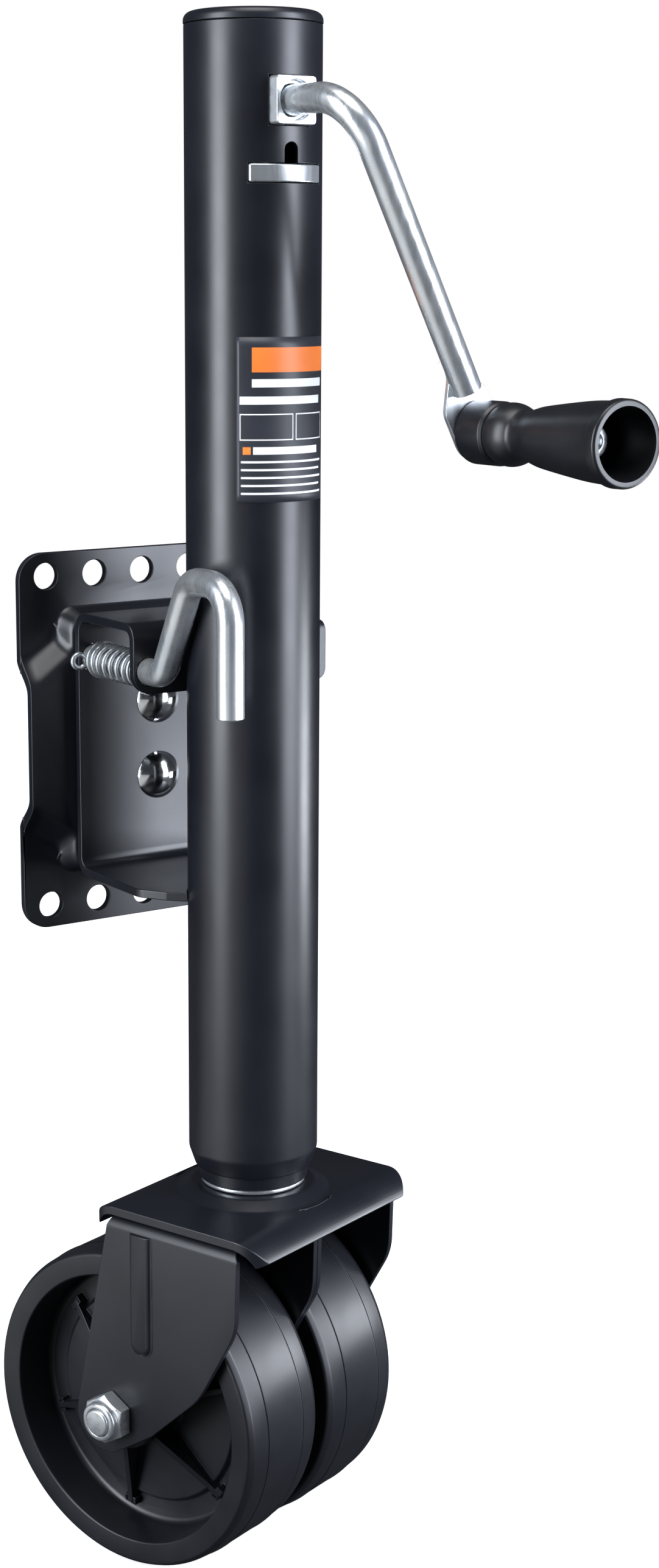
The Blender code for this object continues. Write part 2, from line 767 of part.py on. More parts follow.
def drive_pinion(crank):
    bore = SHAFT_BORE_R
    hub_r = 8.5 * MM
    top = [(bore, -7 * MM), (hub_r, -7 * MM), (hub_r, -14.6 * MM)]
    bottom = [(10.5 * MM, -24.2 * MM), (bore, -24.2 * MM)]
    shape = (PINION_PITCH_R, GEAR_PITCH_R)
    pinion = bevel_blank("drive_pinion", *shape, top, bottom, PINION_TEETH)
    spaces = tooth_spaces("pinion spaces", PINION_TEETH, *shape)
    place(pinion, crank, (0, 0, CRANK_Z), FACING_BACK)
    place(spaces, crank, (0, 0, CRANK_Z), FACING_BACK)
    hole = cylinder("pinion hub hole", ROLL_PIN_HOLE_R, 40 * MM, 12)
    cut(pinion, spaces, place(hole, crank, (0, PINION_PIN_Y, CRANK_Z - 20 * MM)))
    paint(pinion, "dark steel")
    half = 8.2 * MM
    pin = cylinder("pinion_roll_pin", ROLL_PIN_R, 2 * half, 12)
    paint(place(pin, crank, (0, PINION_PIN_Y, CRANK_Z - half)), "dark steel")


def shaft_clip(crank):
    outline = arc(0, 0, 10.5 * MM, 30, 330, 16) + arc(0, 0, ROD_R + GAP, 330, 30, 16)
    clip = sheet("shaft_clip", outline, 1.2 * MM)
    place(clip, crank, (0, 33.5 * MM, CRANK_Z), FACING_FRONT)
    return paint(clip, "dark steel")


def grip_bolt(crank):
    """The grip turns on this bolt, whose head sits deep in the grip's open end."""
    centre = arm_point(ARM, 0)
    tail = -TONGUE - 10 * MM
    seat = HEAD_SEAT + GAP
    profile = [
        (0, seat + 5.5 * MM),
        (6.2 * MM, seat + 5.5 * MM),
        (6.9 * MM, seat + 4.8 * MM),
        (6.9 * MM, seat),
        (GRIP_BOLT_R, seat),
        (GRIP_BOLT_R, tail),
        (0, tail),
    ]
    bolt = turned("grip_bolt", profile, 20)
    place(bolt, crank, (centre.x, TONGUE_FRONT, centre.z), FACING_FRONT)
    paint(bolt, "bright zinc")
    nut = hex_nut("grip_nut", 13 * MM, 6.5 * MM, GRIP_BOLT_R + GAP)
    back = TONGUE_FRONT + TONGUE + GAP
    place(nut, crank, (centre.x, back, centre.z), FACING_BACK)
    return paint(nut, "bright zinc")


def grip_profile():
    """(radius, distance from the tongue), from the open end's rim back along the outside."""
    ball = arc(0, 23.5 * MM, 13.7 * MM, 43, -22, 5)
    rim = [
        (15.8 * MM, GRIP_LENGTH),
        (17.4 * MM, GRIP_LENGTH),
        (18.2 * MM, GRIP_LENGTH - 1 * MM),
        (18.3 * MM, GRIP_LENGTH - 5 * MM),
        (17.9 * MM, GRIP_LENGTH - 5.6 * MM),
    ]
    cone = [
        (17.2 * MM, 78 * MM),
        (13.0 * MM, 46 * MM),
        (12.0 * MM, 41.5 * MM),
        (10.7 * MM, 37.5 * MM),
        (10.1 * MM, 35.5 * MM),
    ]
    base = [
        (13.3 * MM, 17.2 * MM),
        (13.9 * MM, 16.4 * MM),
        (13.9 * MM, 1.4 * MM),
        (13.2 * MM, GAP),
    ]
    inside = [
        (GRIP_BORE_R, GAP),
        (GRIP_BORE_R, HEAD_SEAT),
        (12.6 * MM, HEAD_SEAT),
    ]
    return rim + cone + ball + base + inside


def handle_grip(grip):
    centre = arm_point(ARM, 0)
    piece = turned("handle_grip", grip_profile(), 24, ring=True)
    place(piece, grip, (centre.x, TONGUE_FRONT, centre.z), FACING_FRONT)
    return paint(piece, "black plastic")


# Lead screw and its bearing


def thread_section(step, steps_per_turn, sides):
    """A ring of the left-hand thread: its radius swings between root and crest once a lead."""
    z = SCREW_BOTTOM + LEAD * step / steps_per_turn
    section = []
    for side in range(sides):
        phase = (step / steps_per_turn + side / sides) % 1
        radius = SCREW_R - THREAD_DEPTH * abs(2 * phase - 1)
        turn = 2 * math.pi * side / sides
        section.append((radius * math.cos(turn), radius * math.sin(turn), z))
    return section


def lead_screw(screw):
    steps_per_turn, sides = 2, 6
    count = int((THREAD_TOP - SCREW_BOTTOM) / LEAD * steps_per_turn)
    sections = [thread_section(i, steps_per_turn, sides) for i in range(count)]
    thread = place(loft("lead_screw", sections), screw)
    profile = [
        (0, SCREW_TOP),
        (SCREW_R - 1 * MM, SCREW_TOP),
        (SCREW_R, SCREW_TOP - 1 * MM),
        (SCREW_R, COLLAR_TOP),
        (14 * MM, COLLAR_TOP),
        (14 * MM, COLLAR_TOP - COLLAR),
        (SCREW_R - THREAD_DEPTH / 2, COLLAR_TOP - COLLAR),
        (SCREW_R - THREAD_DEPTH / 2, THREAD_TOP - 8 * MM),
        (0, THREAD_TOP - 8 * MM),
    ]
    shank = place(turned("screw shank", profile, 16), screw)
    join(thread, shank)
    hole = cylinder("gear pin hole in screw", ROLL_PIN_HOLE_R, 60 * MM, 12)
    cut(thread, place(hole, screw, (-30 * MM, 0, GEAR_PIN_Z), FACING_RIGHT))
    return paint(thread, "dark steel")


def driven_gear(screw):
    bore = SCREW_R + GAP
    top = [(bore, -11.7 * MM), (13.2 * MM, -11.7 * MM)]
    bottom = [
        (18.5 * MM, -19.2 * MM),
        (11.5 * MM, -19.2 * MM),
        (11.5 * MM, -GEAR_HUB_DROP),
        (bore, -GEAR_HUB_DROP),
    ]
    shape = (GEAR_PITCH_R, PINION_PITCH_R)
    gear = bevel_blank("driven_bevel_gear", *shape, top, bottom, GEAR_TEETH)
    spaces = tooth_spaces("gear spaces", GEAR_TEETH, *shape)
    place(gear, screw, (0, 0, CRANK_Z))
    place(spaces, screw, (0, 0, CRANK_Z))
    hole = cylinder("gear pin hole", ROLL_PIN_HOLE_R, 60 * MM, 12)
    place(hole, screw, (-30 * MM, 0, GEAR_PIN_Z), FACING_RIGHT)
    cut(gear, spaces, hole)
    paint(gear, "dark steel")
    half = 11 * MM
    pin = cylinder("gear_roll_pin", ROLL_PIN_R, 2 * half, 12)
    return paint(place(pin, screw, (-half, 0, GEAR_PIN_Z), FACING_RIGHT), "dark steel")


def ball_cage(screw):
    """The cage ring with its balls, which it holds as one unit."""
    half = 1 * MM
    cage = ring("thrust_ball_cage", 14.7 * MM, 9.2 * MM, CAGE_Z - half, CAGE_Z + half)
    place(cage, screw)
    made = bmesh.new()
    balls, circle_r, ball_r = 8, 12 * MM, 2.8 * MM
    for i in range(balls):
        a = 2 * math.pi * (i + 0.5) / balls
        where = Matrix.Translation((circle_r * math.cos(a), circle_r * math.sin(a), CAGE_Z))
        bmesh.ops.create_uvsphere(made, u_segments=6, v_segments=4, radius=ball_r, matrix=where)
    join(cage, place(add("balls", mesh_from("balls", made)), screw))
    return paint(cage, "bronze")


def lower_race(screw):
    low = LOWER_RACE_LOW
    race = ring("thrust_race_lower", RACE_R, SCREW_R + GAP, low, low + RACE)
    return paint(place(race, screw), "dark steel")


# Leg


def leg_pieces(leg):
    tube = ring("inner_leg", LEG_R, LEG_BORE_R, LEG_BOTTOM, LEG_TOP, 32)
    paint(place(tube, leg), "black paint")
    nut_low, nut_high = LEG_TOP - 24 * MM, LEG_TOP - 1 * MM
    nut = ring("lead_nut", LEG_BORE_R - GAP, SCREW_R + 0.5 * MM, nut_low, nut_high)
    paint(place(nut, leg), "bronze")
    guide_low, guide_high = LEG_TOP - 22 * MM, LEG_TOP - 2 * MM
    guide = ring("leg_guide_ring", TUBE_BORE_R - GAP, LEG_R + GAP, guide_low, guide_high, 32)
    paint(place(guide, leg), "white nylon")
    hollow_top = BOSS_TOP - CASTER_SHEET
    plug_top = LEG_BOTTOM + 16 * MM
    stem_bottom = hollow_top - 7.2 * MM
    plug = turned(
        "swivel_plug",
        [
            (0, plug_top),
            (LEG_BORE_R - GAP, plug_top),
            (LEG_BORE_R - GAP, LEG_BOTTOM),
            (STEM_R, LEG_BOTTOM),
            (STEM_R, stem_bottom),
            (0, stem_bottom),
        ],
        32,
    )
    paint(place(plug, leg), "dark steel")
    washer_high = hollow_top - 0.4 * MM
    washer_low = washer_high - 2.1 * MM
    retainer = ring("swivel_retainer", 19 * MM, STEM_R + GAP, washer_low, washer_high, 24)
    paint(place(retainer, leg), "dark steel")
    clip_outline = arc(0, 0, 15.5 * MM, 20, 340, 20) + arc(0, 0, STEM_R + GAP, 340, 20, 20)
    clip = sheet("swivel_clip", clip_outline, 1.4 * MM)
    paint(place(clip, leg, (0, 0, washer_low - 1.2 * MM)), "dark steel")


# Caster


def lip_profile(shift):
    """The caster plate's section from its left lip to its right one, moved out by `shift`."""
    radius = LIP_RADIUS + shift
    centre = CASTER_TOP - LIP_RADIUS
    degrees = math.degrees(LIP_TURN)
    right = arc(FLAT_Y, centre, radius, 90, 90 - degrees, 7)
    left = [(-x, z) for x, z in reversed(right)]
    return left + right


def caster_plate(caster):
    outline = lip_profile(0) + list(reversed(lip_profile(-CASTER_SHEET)))
    plate = sheet("caster_plate", outline, 2 * CASTER_X)
    place(plate, caster, (0, 0, 0), SIDEWAYS)
    lip = FLAT_Y + LIP_RADIUS * math.sin(LIP_TURN)
    corners = rounded_rectangle(CASTER_X - GAP, lip + 1 * MM, 13 * MM, 5)
    trim = sheet("caster plate corners", corners, 80 * MM)
    combine(plate, place(trim, caster, (0, 0, CASTER_TOP - 20 * MM)), "INTERSECT")
    rise = BOSS_TOP - CASTER_TOP
    boss = cylinder("caster boss", 38 * MM, rise + 1.5 * MM, 40, tip=27.5 * MM)
    join(plate, place(boss, caster, (0, 0, CASTER_TOP - 1.5 * MM)))
    under = cylinder("boss hollow", 33 * MM, rise + 4 * MM, 40, tip=22 * MM)
    cut(plate, place(under, caster, (0, 0, CASTER_TOP - CASTER_SHEET - 4 * MM)))
    hole = cylinder("swivel hole", STEM_R + GAP, 40 * MM, 32)
    cut(plate, place(hole, caster, (0, 0, CASTER_TOP - 20 * MM)))
    paint(plate, "black paint")
    washer = ring("swivel_washer", LEG_R, STEM_R + GAP, BOSS_TOP + GAP, LEG_BOTTOM - GAP, 32)
    return paint(place(washer, caster), "bright zinc")


def cheek_outline():
    """The fork cheek's edge as (y, z), with a round end under the axle."""
    above = CASTER_TOP
    foot = arc(TRAIL + 5 * MM, AXLE_Z - 3 * MM, 17 * MM, -112, 10, 8)
    return [
        (38 * MM, 171 * MM),
        (FLAT_Y, above),
        (-FLAT_Y, above),
        (-38.2 * MM, 171 * MM),
        (-37.3 * MM, 137 * MM),
        (-16 * MM, 99 * MM),
        (12 * MM, 73 * MM),
        *foot,
    ]


def fork(name, side, caster):
    """One U-shaped fork, open below, between its inner cheek at the middle and its outer cheek."""
    inner, outer = GAP / 2, FORK_OUT
    bend = 5 * MM
    bottom = 40 * MM
    outside = rounded(
        [
            ((inner, bottom), 0),
            ((inner, FORK_TOP), 2 * MM),
            ((outer, FORK_TOP), bend),
            ((outer, bottom), 0),
        ]
    )
    inside = rounded(
        [
            ((outer - FORK_SHEET, bottom), 0),
            ((outer - FORK_SHEET, FORK_TOP - FORK_SHEET), bend - FORK_SHEET),
            ((inner + FORK_SHEET, FORK_TOP - FORK_SHEET), 1 * MM),
            ((inner + FORK_SHEET, bottom), 0),
        ]
    )
    section = [(side * p.x, p.y) for p in outside + inside]
    piece = sheet(name, section, 200 * MM)
    place(piece, caster, (0, 0, 0), FACING_FRONT)
    cheek = sheet(name + " cheek", cheek_outline(), 200 * MM)
    combine(piece, place(cheek, caster, (0, 0, 0), SIDEWAYS), "INTERSECT")
    sections = []
    for x, half_y, half_z in ((-1 * MM, 6 * MM, 40 * MM), (1.8 * MM, 4.2 * MM, 38.2 * MM)):
        edge = rounded_rectangle(half_y, half_z, half_y - 0.5 * MM)
        sections.append([(side * (FORK_OUT + x), p.x, p.y) for p in edge])
    rib = loft(name + " rib", sections)
    place(rib, caster, (0, 17 * MM, 152 * MM))
    rib_top, far = FORK_TOP - bend, 100 * MM
    trim = block(name + " rib trim", (-far, -far, rib_top), (far, far, CASTER_TOP + far))
    cut(rib, place(trim, caster))
    join(piece, rib)
    hole = cylinder(name + " axle hole", AXLE_R + GAP, 160 * MM, 24)
    place(hole, caster, (-80 * MM, TRAIL, AXLE_Z), FACING_RIGHT)
    stem = cylinder(name + " stem notch", 22 * MM, 40 * MM, 32)
    cut(piece, hole, place(stem, caster, (0, 0, FORK_TOP - 20 * MM)))
    return paint(piece, "black paint")


def axle(caster):
    head_x = FORK_OUT + GAP
    tip_x = -74.3 * MM
    profile = [
        (0, head_x + 8 * MM),
        (10.6 * MM, head_x + 8 * MM),
        (10.6 * MM, head_x),
        (AXLE_R, head_x),
        (AXLE_R, tip_x),
        (0, tip_x),
    ]
    bolt = turned("axle_bolt", profile, 24)
    paint(place(bolt, caster, (0, TRAIL, AXLE_Z), FACING_RIGHT), "bright zinc")
    facing_left = (0, -QUARTER, 0)
    nut = hex_nut("axle_lock_nut", 21 * MM, 7.5 * MM, AXLE_R + GAP)
    place(nut, caster, (-head_x, TRAIL, AXLE_Z), facing_left)
    collar = cylinder("nut collar", 9.6 * MM, 6 * MM)
    place(collar, caster, (-head_x - 5 * MM, TRAIL, AXLE_Z), facing_left)
    collar_bore = cylinder("nut collar bore", AXLE_R + GAP, 30 * MM)
    place(collar_bore, caster, (-head_x + 8 * MM, TRAIL, AXLE_Z), facing_left)
    join(nut, collar)
    cut(nut, collar_bore)
    return paint(nut, "bright zinc")


def wheel_profile():
    """(radius, distance from the wheel's middle), from one end of the hub bore round the tread."""
    web, hub_r = 4 * MM, 19 * MM
    bore = 9.3 * MM
    inner_r, side_r = WHEEL_R - 12.8 * MM, WHEEL_R - 2.4 * MM
    half = [
        (bore, HUB_HALF),
        (hub_r, HUB_HALF),
        (hub_r + 1.5 * MM, web + 2.5 * MM),
        (52 * MM, web + 2.5 * MM),
        (53 * MM, web),
        (inner_r - 1 * MM, web),
        (inner_r, WHEEL_HALF - 0.5 * MM),
        (side_r, WHEEL_HALF),
        (WHEEL_R - 0.9 * MM, WHEEL_HALF - 3 * MM),
        (WHEEL_R - 0.2 * MM, WHEEL_HALF - 12 * MM),
    ]
    return half + [(r, -z) for r, z in reversed(half)]


def wheel_ribs(name):
    """Six ribs on each side of a wheel's web, highest at the hub."""
    foot_r, end_r, half_width = 17.5 * MM, 58 * MM, 1.5 * MM
    foot_z, end_z, hub_z = 3 * MM, 9 * MM, 20 * MM
    section = [(foot_r, foot_z), (end_r, foot_z), (end_r, end_z), (foot_r, hub_z)]
    made = bmesh.new()
    for i in range(6):
        turn = Matrix.Rotation(math.radians(60 * i) + RIB_TURN, 4, "Z")
        for face in (-1, 1):
            near, far = [
                [made.verts.new(turn @ Vector((x, across, face * z))) for x, z in section]
                for across in (-half_width, half_width)
            ]
            for k in range(4):
                made.faces.new((near[k], near[(k + 1) % 4], far[(k + 1) % 4], far[k]))
            made.faces.new(near)
            made.faces.new(far)
    return add(name, mesh_from(name, made))


def wheel(name, side, axis):
    """One moulded wheel and the bush in its hub."""
    piece = turned(name, wheel_profile(), 36, ring=True)
    at = (side * WHEEL_X, TRAIL, AXLE_Z)
    place(piece, axis, at, FACING_RIGHT)
    join(piece, place(wheel_ribs(name + " ribs"), axis, at, FACING_RIGHT))
    paint(piece, "black plastic")
    bush_name = name.replace("wheel", "hub_bush")
    bush = ring(bush_name, 9 * MM, AXLE_R + GAP, -HUB_HALF, HUB_HALF)
    return paint(place(bush, axis, at, FACING_RIGHT), "bronze")


def spacer(name, low, high, caster):
    piece = ring(name, 11 * MM, AXLE_R + GAP, low, high)
    return paint(place(piece, caster, (0, TRAIL, AXLE_Z), FACING_RIGHT), "bright zinc")


def spacers(caster):
    near = FORK_SHEET + 2 * GAP
    hub_in = WHEEL_X - HUB_HALF - GAP
    hub_out = WHEEL_X + HUB_HALF + GAP
    far = FORK_OUT - FORK_SHEET - GAP
    spacer("inner_spacer_far", near, hub_in, caster)
    spacer("outer_spacer_far", hub_out, far, caster)
    spacer("inner_spacer_near", -hub_in, -near, caster)
    spacer("outer_spacer_near", -far, -hub_out, caster)


# Pull pin


def pull_pin(pin):
    hook_x, hook_top = -38.5 * MM, 470.3 * MM
    path = rounded(
        [
            ((PIN_X, PIN_TIP, PIN_Z), 0),
            ((PIN_X, 20 * MM, PIN_Z), 11 * MM),
            ((hook_x, -9.5 * MM, hook_top), 13 * MM),
            ((hook_x, -41.5 * MM, hook_top), 16 * MM),
            ((hook_x, -41.5 * MM, 413 * MM), 0),
        ],
        6,
    )
    rod = place(wire("pull_pin", path, PIN_R, 3), pin)
    hole = cylinder("cotter hole", 1.5 * MM, 40 * MM, 12)
    cut(rod, place(hole, pin, (PIN_X - 20 * MM, COTTER_Y, PIN_Z), FACING_RIGHT))
    paint(rod, "bright zinc")
    washer = ring("pin_washer", 9 * MM, PIN_R + GAP, 0, 1.2 * MM)
    place(washer, pin, (PIN_X, COTTER_Y - 3 * MM, PIN_Z), FACING_BACK)
    paint(washer, "bright zinc")
    eye = [
        (PIN_X - 11.8 * MM + x, COTTER_Y, PIN_Z + z)
        for x, z in arc(0, 0, 3.2 * MM, 0, 318, 12)
    ]
    cotter = wire("cotter_pin", [(PIN_X + 9 * MM, COTTER_Y, PIN_Z), *eye], 1.15 * MM, 1)
    paint(place(cotter, pin), "bright zinc")


def pin_spring(jack):
    start = TAB_Y + SHEET / 2 + SPRING_WIRE_R + GAP
    end = COTTER_Y - 3 * MM - SPRING_WIRE_R - GAP
    per_turn = 9
    count = SPRING_COILS * per_turn
    helix = [
        (
            PIN_X + SPRING_R * math.cos(2 * math.pi * i / per_turn),
            start + (end - start) * i / count,
            PIN_Z + SPRING_R * math.sin(2 * math.pi * i / per_turn),
        )
        for i in range(count + 1)
    ]
    return paint(place(wire("pin_spring", helix, SPRING_WIRE_R, 1), jack), "bright zinc")


def build():
    frame = add_joint("mount_frame", (0, 0, 0))
    frame.location = -ORIGIN
    pivot = add_joint("swivel_axis", (0, WEB_Y + SHEET, PIVOT_Z), frame)
    crank = add_joint("crank_axis", (0, -TUBE_R, CRANK_Z), pivot)
    turning = arm_point(ARM, 0)
    grip = add_joint("grip_axis", (turning.x, TONGUE_FRONT, turning.z), crank)
    screw = add_joint("screw_axis", (0, 0, PLATE_HIGH), pivot)
    leg = add_joint("leg_axis", (0, 0, LEG_BOTTOM), pivot)
    pin = add_joint("pull_pin_axis", (PIN_X, TAB_Y, PIN_Z), pivot)
    caster = add_joint("caster_axis", (0, 0, CASTER_TOP), leg, CASTER_TURN)
    near_axis = add_joint("wheel_near_axis", (-WHEEL_X, TRAIL, AXLE_Z), caster)
    far_axis = add_joint("wheel_far_axis", (WHEEL_X, TRAIL, AXLE_Z), caster)

    mounting_plate(frame)

    outer_tube(pivot)
    top_cap(pivot)
    front_bushing(pivot)
    rear_bushing(pivot)
    bearing_plate(pivot)
    upper_race(pivot)
    label(pivot)
    swivel_bracket(pivot)
    pivot_pieces(pivot)

    crank_arm(crank)
    drive_pinion(crank)
    shaft_clip(crank)
    grip_bolt(crank)
    handle_grip(grip)

    lead_screw(screw)
    driven_gear(screw)
    ball_cage(screw)
    lower_race(screw)

    leg_pieces(leg)

    caster_plate(caster)
    fork("fork_near", -1, caster)
    fork("fork_far", 1, caster)
    axle(caster)
    spacers(caster)
    wheel("wheel_near", -1, near_axis)
    wheel("wheel_far", 1, far_axis)

    pull_pin(pin)
    pin_spring(pivot)


build()
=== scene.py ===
"""The looks of the trailer tongue jack: fine visible pieces, finishes, studio light and camera.

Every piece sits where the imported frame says. BASE is the outer tube's axis at ground level, and
piece coordinates below count from it: the crank is towards -Y, the mounting plate towards +Y.
"""

import json
import math

import bmesh
import bpy
from mathutils import Euler, Matrix, Vector


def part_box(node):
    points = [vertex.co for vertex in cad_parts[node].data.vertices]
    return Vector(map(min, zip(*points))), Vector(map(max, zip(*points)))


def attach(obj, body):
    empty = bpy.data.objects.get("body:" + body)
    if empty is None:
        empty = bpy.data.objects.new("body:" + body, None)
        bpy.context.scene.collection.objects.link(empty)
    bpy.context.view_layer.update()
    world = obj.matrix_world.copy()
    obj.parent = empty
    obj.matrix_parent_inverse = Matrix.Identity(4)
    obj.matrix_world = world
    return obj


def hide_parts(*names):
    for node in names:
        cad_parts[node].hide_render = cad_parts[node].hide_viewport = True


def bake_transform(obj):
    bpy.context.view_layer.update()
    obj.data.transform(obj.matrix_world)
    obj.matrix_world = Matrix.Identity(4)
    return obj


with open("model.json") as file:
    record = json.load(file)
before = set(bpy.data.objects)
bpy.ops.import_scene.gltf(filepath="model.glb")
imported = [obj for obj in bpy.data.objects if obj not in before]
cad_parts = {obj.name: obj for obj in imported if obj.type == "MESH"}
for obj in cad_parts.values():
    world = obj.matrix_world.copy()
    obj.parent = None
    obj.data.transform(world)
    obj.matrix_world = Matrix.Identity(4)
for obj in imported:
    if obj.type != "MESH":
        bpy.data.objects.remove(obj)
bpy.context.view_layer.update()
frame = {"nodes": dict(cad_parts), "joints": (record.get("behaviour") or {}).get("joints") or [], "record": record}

MM = 0.001
JOINTS = {joint["name"]: joint for joint in frame["joints"]}
TUBE_LOW, TUBE_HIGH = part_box("outer_tube")
TUBE_MIDDLE = (TUBE_LOW + TUBE_HIGH) / 2
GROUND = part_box("wheel_near")[0].z
BASE = Vector((TUBE_MIDDLE.x, TUBE_MIDDLE.y, GROUND))


# Materials


def new_material(name):
    """A material's node tree and its Principled shader."""
    material = bpy.data.materials.new(name)
    material.use_nodes = True
    tree = material.node_tree
    return material, tree, tree.nodes["Principled BSDF"]


def add_node(tree, kind, inputs=None, **settings):
    """A node whose inputs are values, or outputs of other nodes."""
    made = tree.nodes.new("ShaderNode" + kind)
    for key, value in settings.items():
        setattr(made, key, value)
    for key, value in (inputs or {}).items():
        if isinstance(value, bpy.types.NodeSocket):
            tree.links.new(value, made.inputs[key])
        else:
            made.inputs[key].default_value = value
    return made


def connect(tree, shader, **sockets):
    for key, value in sockets.items():
        name = key.replace("_", " ").title()
        if isinstance(value, bpy.types.NodeSocket):
            tree.links.new(value, shader.inputs[name])
        else:
            shader.inputs[name].default_value = value


def rgb(red, green, blue):
    return (red, green, blue, 1.0)


def surface_noise(tree, scale, detail=3.0, stretch=(1, 1, 1)):
    """Noise in the piece's own space, with `scale` grains a metre."""
    spot = add_node(tree, "TexCoord").outputs["Object"]
    mapped = add_node(tree, "Mapping", {"Vector": spot, "Scale": stretch}).outputs[0]
    inputs = {"Vector": mapped, "Scale": scale, "Detail": detail}
    return add_node(tree, "TexNoise", inputs).outputs[0]


def spread(tree, value, low, high, start=0.3, end=0.7):
    """Turns start to end, by default the range of the noise, into low to high."""
    inputs = {0: value, 1: start, 2: end, 3: low, 4: high}
    return add_node(tree, "MapRange", inputs).outputs[0]


def blend_colors(tree, share, first, second):
    mix = add_node(tree, "Mix", {0: share, 6: first, 7: second}, data_type="RGBA")
    return mix.outputs[2]


def product(tree, first, second):
    return add_node(tree, "Math", {0: first, 1: second}, operation="MULTIPLY").outputs[0]


def dot_product(tree, first, second):
    inputs = {0: first, 1: second}
    return add_node(tree, "VectorMath", inputs, operation="DOT_PRODUCT").outputs["Value"]


def edge_mask(tree, radius):
    """1 along sharp edges and 0 on open surface."""
    soft = add_node(tree, "Bevel", {"Radius": radius}, samples=4).outputs[0]
    plain = add_node(tree, "NewGeometry").outputs["Normal"]
    on_edge, on_flat = 0.86, 0.99
    return spread(tree, dot_product(tree, soft, plain), 1.0, 0.0, on_edge, on_flat)


def bump(tree, height, strength, distance):
    inputs = {"Height": height, "Strength": strength, "Distance": distance}
    return add_node(tree, "Bump", inputs).outputs[0]


def powder_coat(name, color, worn, roughness):
    """Satin paint with a fine orange peel, cloudy gloss and rubbed edges."""
    material, tree, shader = new_material(name)
    cloud = surface_noise(tree, scale=22, detail=4)
    peel = surface_noise(tree, scale=900, detail=2)
    patches = spread(tree, surface_noise(tree, scale=160), 0.1, 0.7)
    paler = rgb(*(c * 1.35 for c in color[:3]))
    shade = blend_colors(tree, spread(tree, cloud, 0.0, 1.0), color, paler)
    rubbed = product(tree, edge_mask(tree, 0.5 * MM), patches)
    connect(
        tree,
        shader,
        base_color=blend_colors(tree, rubbed, shade, worn),
        roughness=spread(tree, cloud, roughness - 0.04, roughness + 0.05),
        normal=bump(tree, peel, strength=0.10, distance=0.05 * MM),
    )
    return material


def plated(name, color, tint, roughness, metallic=1.0):
    """Bright metal with drawn streaks, a cloudy tint and worn, shinier edges."""
    material, tree, shader = new_material(name)
    streak = surface_noise(tree, scale=260, detail=4, stretch=(1, 1, 0.08))
    cloud = surface_noise(tree, scale=55, detail=3)
    worn = edge_mask(tree, 0.4 * MM)
    worn_color, worn_roughness = rgb(0.86, 0.87, 0.88), rgb(*[roughness * 0.7] * 3)
    shade = blend_colors(tree, spread(tree, cloud, 0.0, 1.0), color, tint)
    rough = spread(tree, streak, roughness - 0.06, roughness + 0.09)
    connect(
        tree,
        shader,
        base_color=blend_colors(tree, worn, shade, worn_color),
        metallic=metallic,
        roughness=blend_colors(tree, worn, rough, worn_roughness),
        normal=bump(tree, streak, strength=0.12, distance=0.06 * MM),
    )
    return material


def moulded(name, color, roughness):
    """Moulded plastic: fine grain, uneven gloss and slightly paler edges."""
    material, tree, shader = new_material(name)
    fine = surface_noise(tree, scale=700, detail=2)
    cloud = surface_noise(tree, scale=30, detail=3)
    pale = rgb(*(c * 1.8 + 0.002 for c in color[:3]))
    shade = blend_colors(tree, spread(tree, cloud, 0.0, 0.35), color, pale)
    connect(
        tree,
        shader,
        base_color=blend_colors(tree, edge_mask(tree, 0.5 * MM), shade, pale),
        roughness=spread(tree, cloud, roughness - 0.04, roughness + 0.06),
        normal=bump(tree, fine, strength=0.16, distance=0.06 * MM),
    )
    return material


BLACK, RUBBED_BLACK = rgb(0.0052, 0.0060, 0.0092), rgb(0.085, 0.088, 0.095)
FINISHES = {
    "black_paint": powder_coat("black_paint", BLACK, RUBBED_BLACK, 0.34),
    "zinc_plate": plated("zinc_plate", rgb(0.60, 0.64, 0.68), rgb(0.70, 0.72, 0.72), 0.27, 0.84),
    "polished_steel": plated("polished_steel", rgb(0.60, 0.62, 0.62), rgb(0.5, 0.52, 0.53), 0.12),
    "dark_steel": plated("dark_steel", rgb(0.22, 0.22, 0.23), rgb(0.14, 0.14, 0.15), 0.36),
    "grip_plastic": moulded("grip_plastic", rgb(0.0065, 0.0068, 0.0085), 0.36),
    "wheel_plastic": moulded("wheel_plastic", rgb(0.0062, 0.0068, 0.0095), 0.38),
    "bearing_bronze": plated("bearing_bronze", rgb(0.55, 0.36, 0.16), rgb(0.45, 0.28, 0.12), 0.30),
    "white_nylon": moulded("white_nylon", rgb(0.70, 0.69, 0.64), 0.50),
    "label_film": moulded("label_film", rgb(0.016, 0.018, 0.024), 0.42),
    "label_orange": moulded("label_orange", rgb(0.80, 0.19, 0.03), 0.45),
    "label_white": moulded("label_white", rgb(0.78, 0.80, 0.82), 0.45),
}
BODIES = {}
for body_name, members in frame["record"]["behaviour"]["bodies"].items():
    BODIES.update(dict.fromkeys(members, body_name))
SLOTS = {part["node"]: part["material_slot"] for part in frame["record"]["subparts"]}
for node_name, node in frame["nodes"].items():
    node.data.materials.clear()
    node.data.materials.append(FINISHES[SLOTS[node_name]])


# Spaces. Lengths below are in millimetres, and skin() turns them into metres.


def joint_place(name):
    return (Vector(JOINTS[name]["pos_m"]) - BASE) / MM


def extent(node, space):
    """A CAD node's lowest and highest corners in one of the spaces."""
    inverse = space.inverted()
    points = [inverse @ v.co / MM for v in frame["nodes"][node].data.vertices]
    return [Vector([pick(p[i] for p in points) for i in range(3)]) for pick in (min, max)]


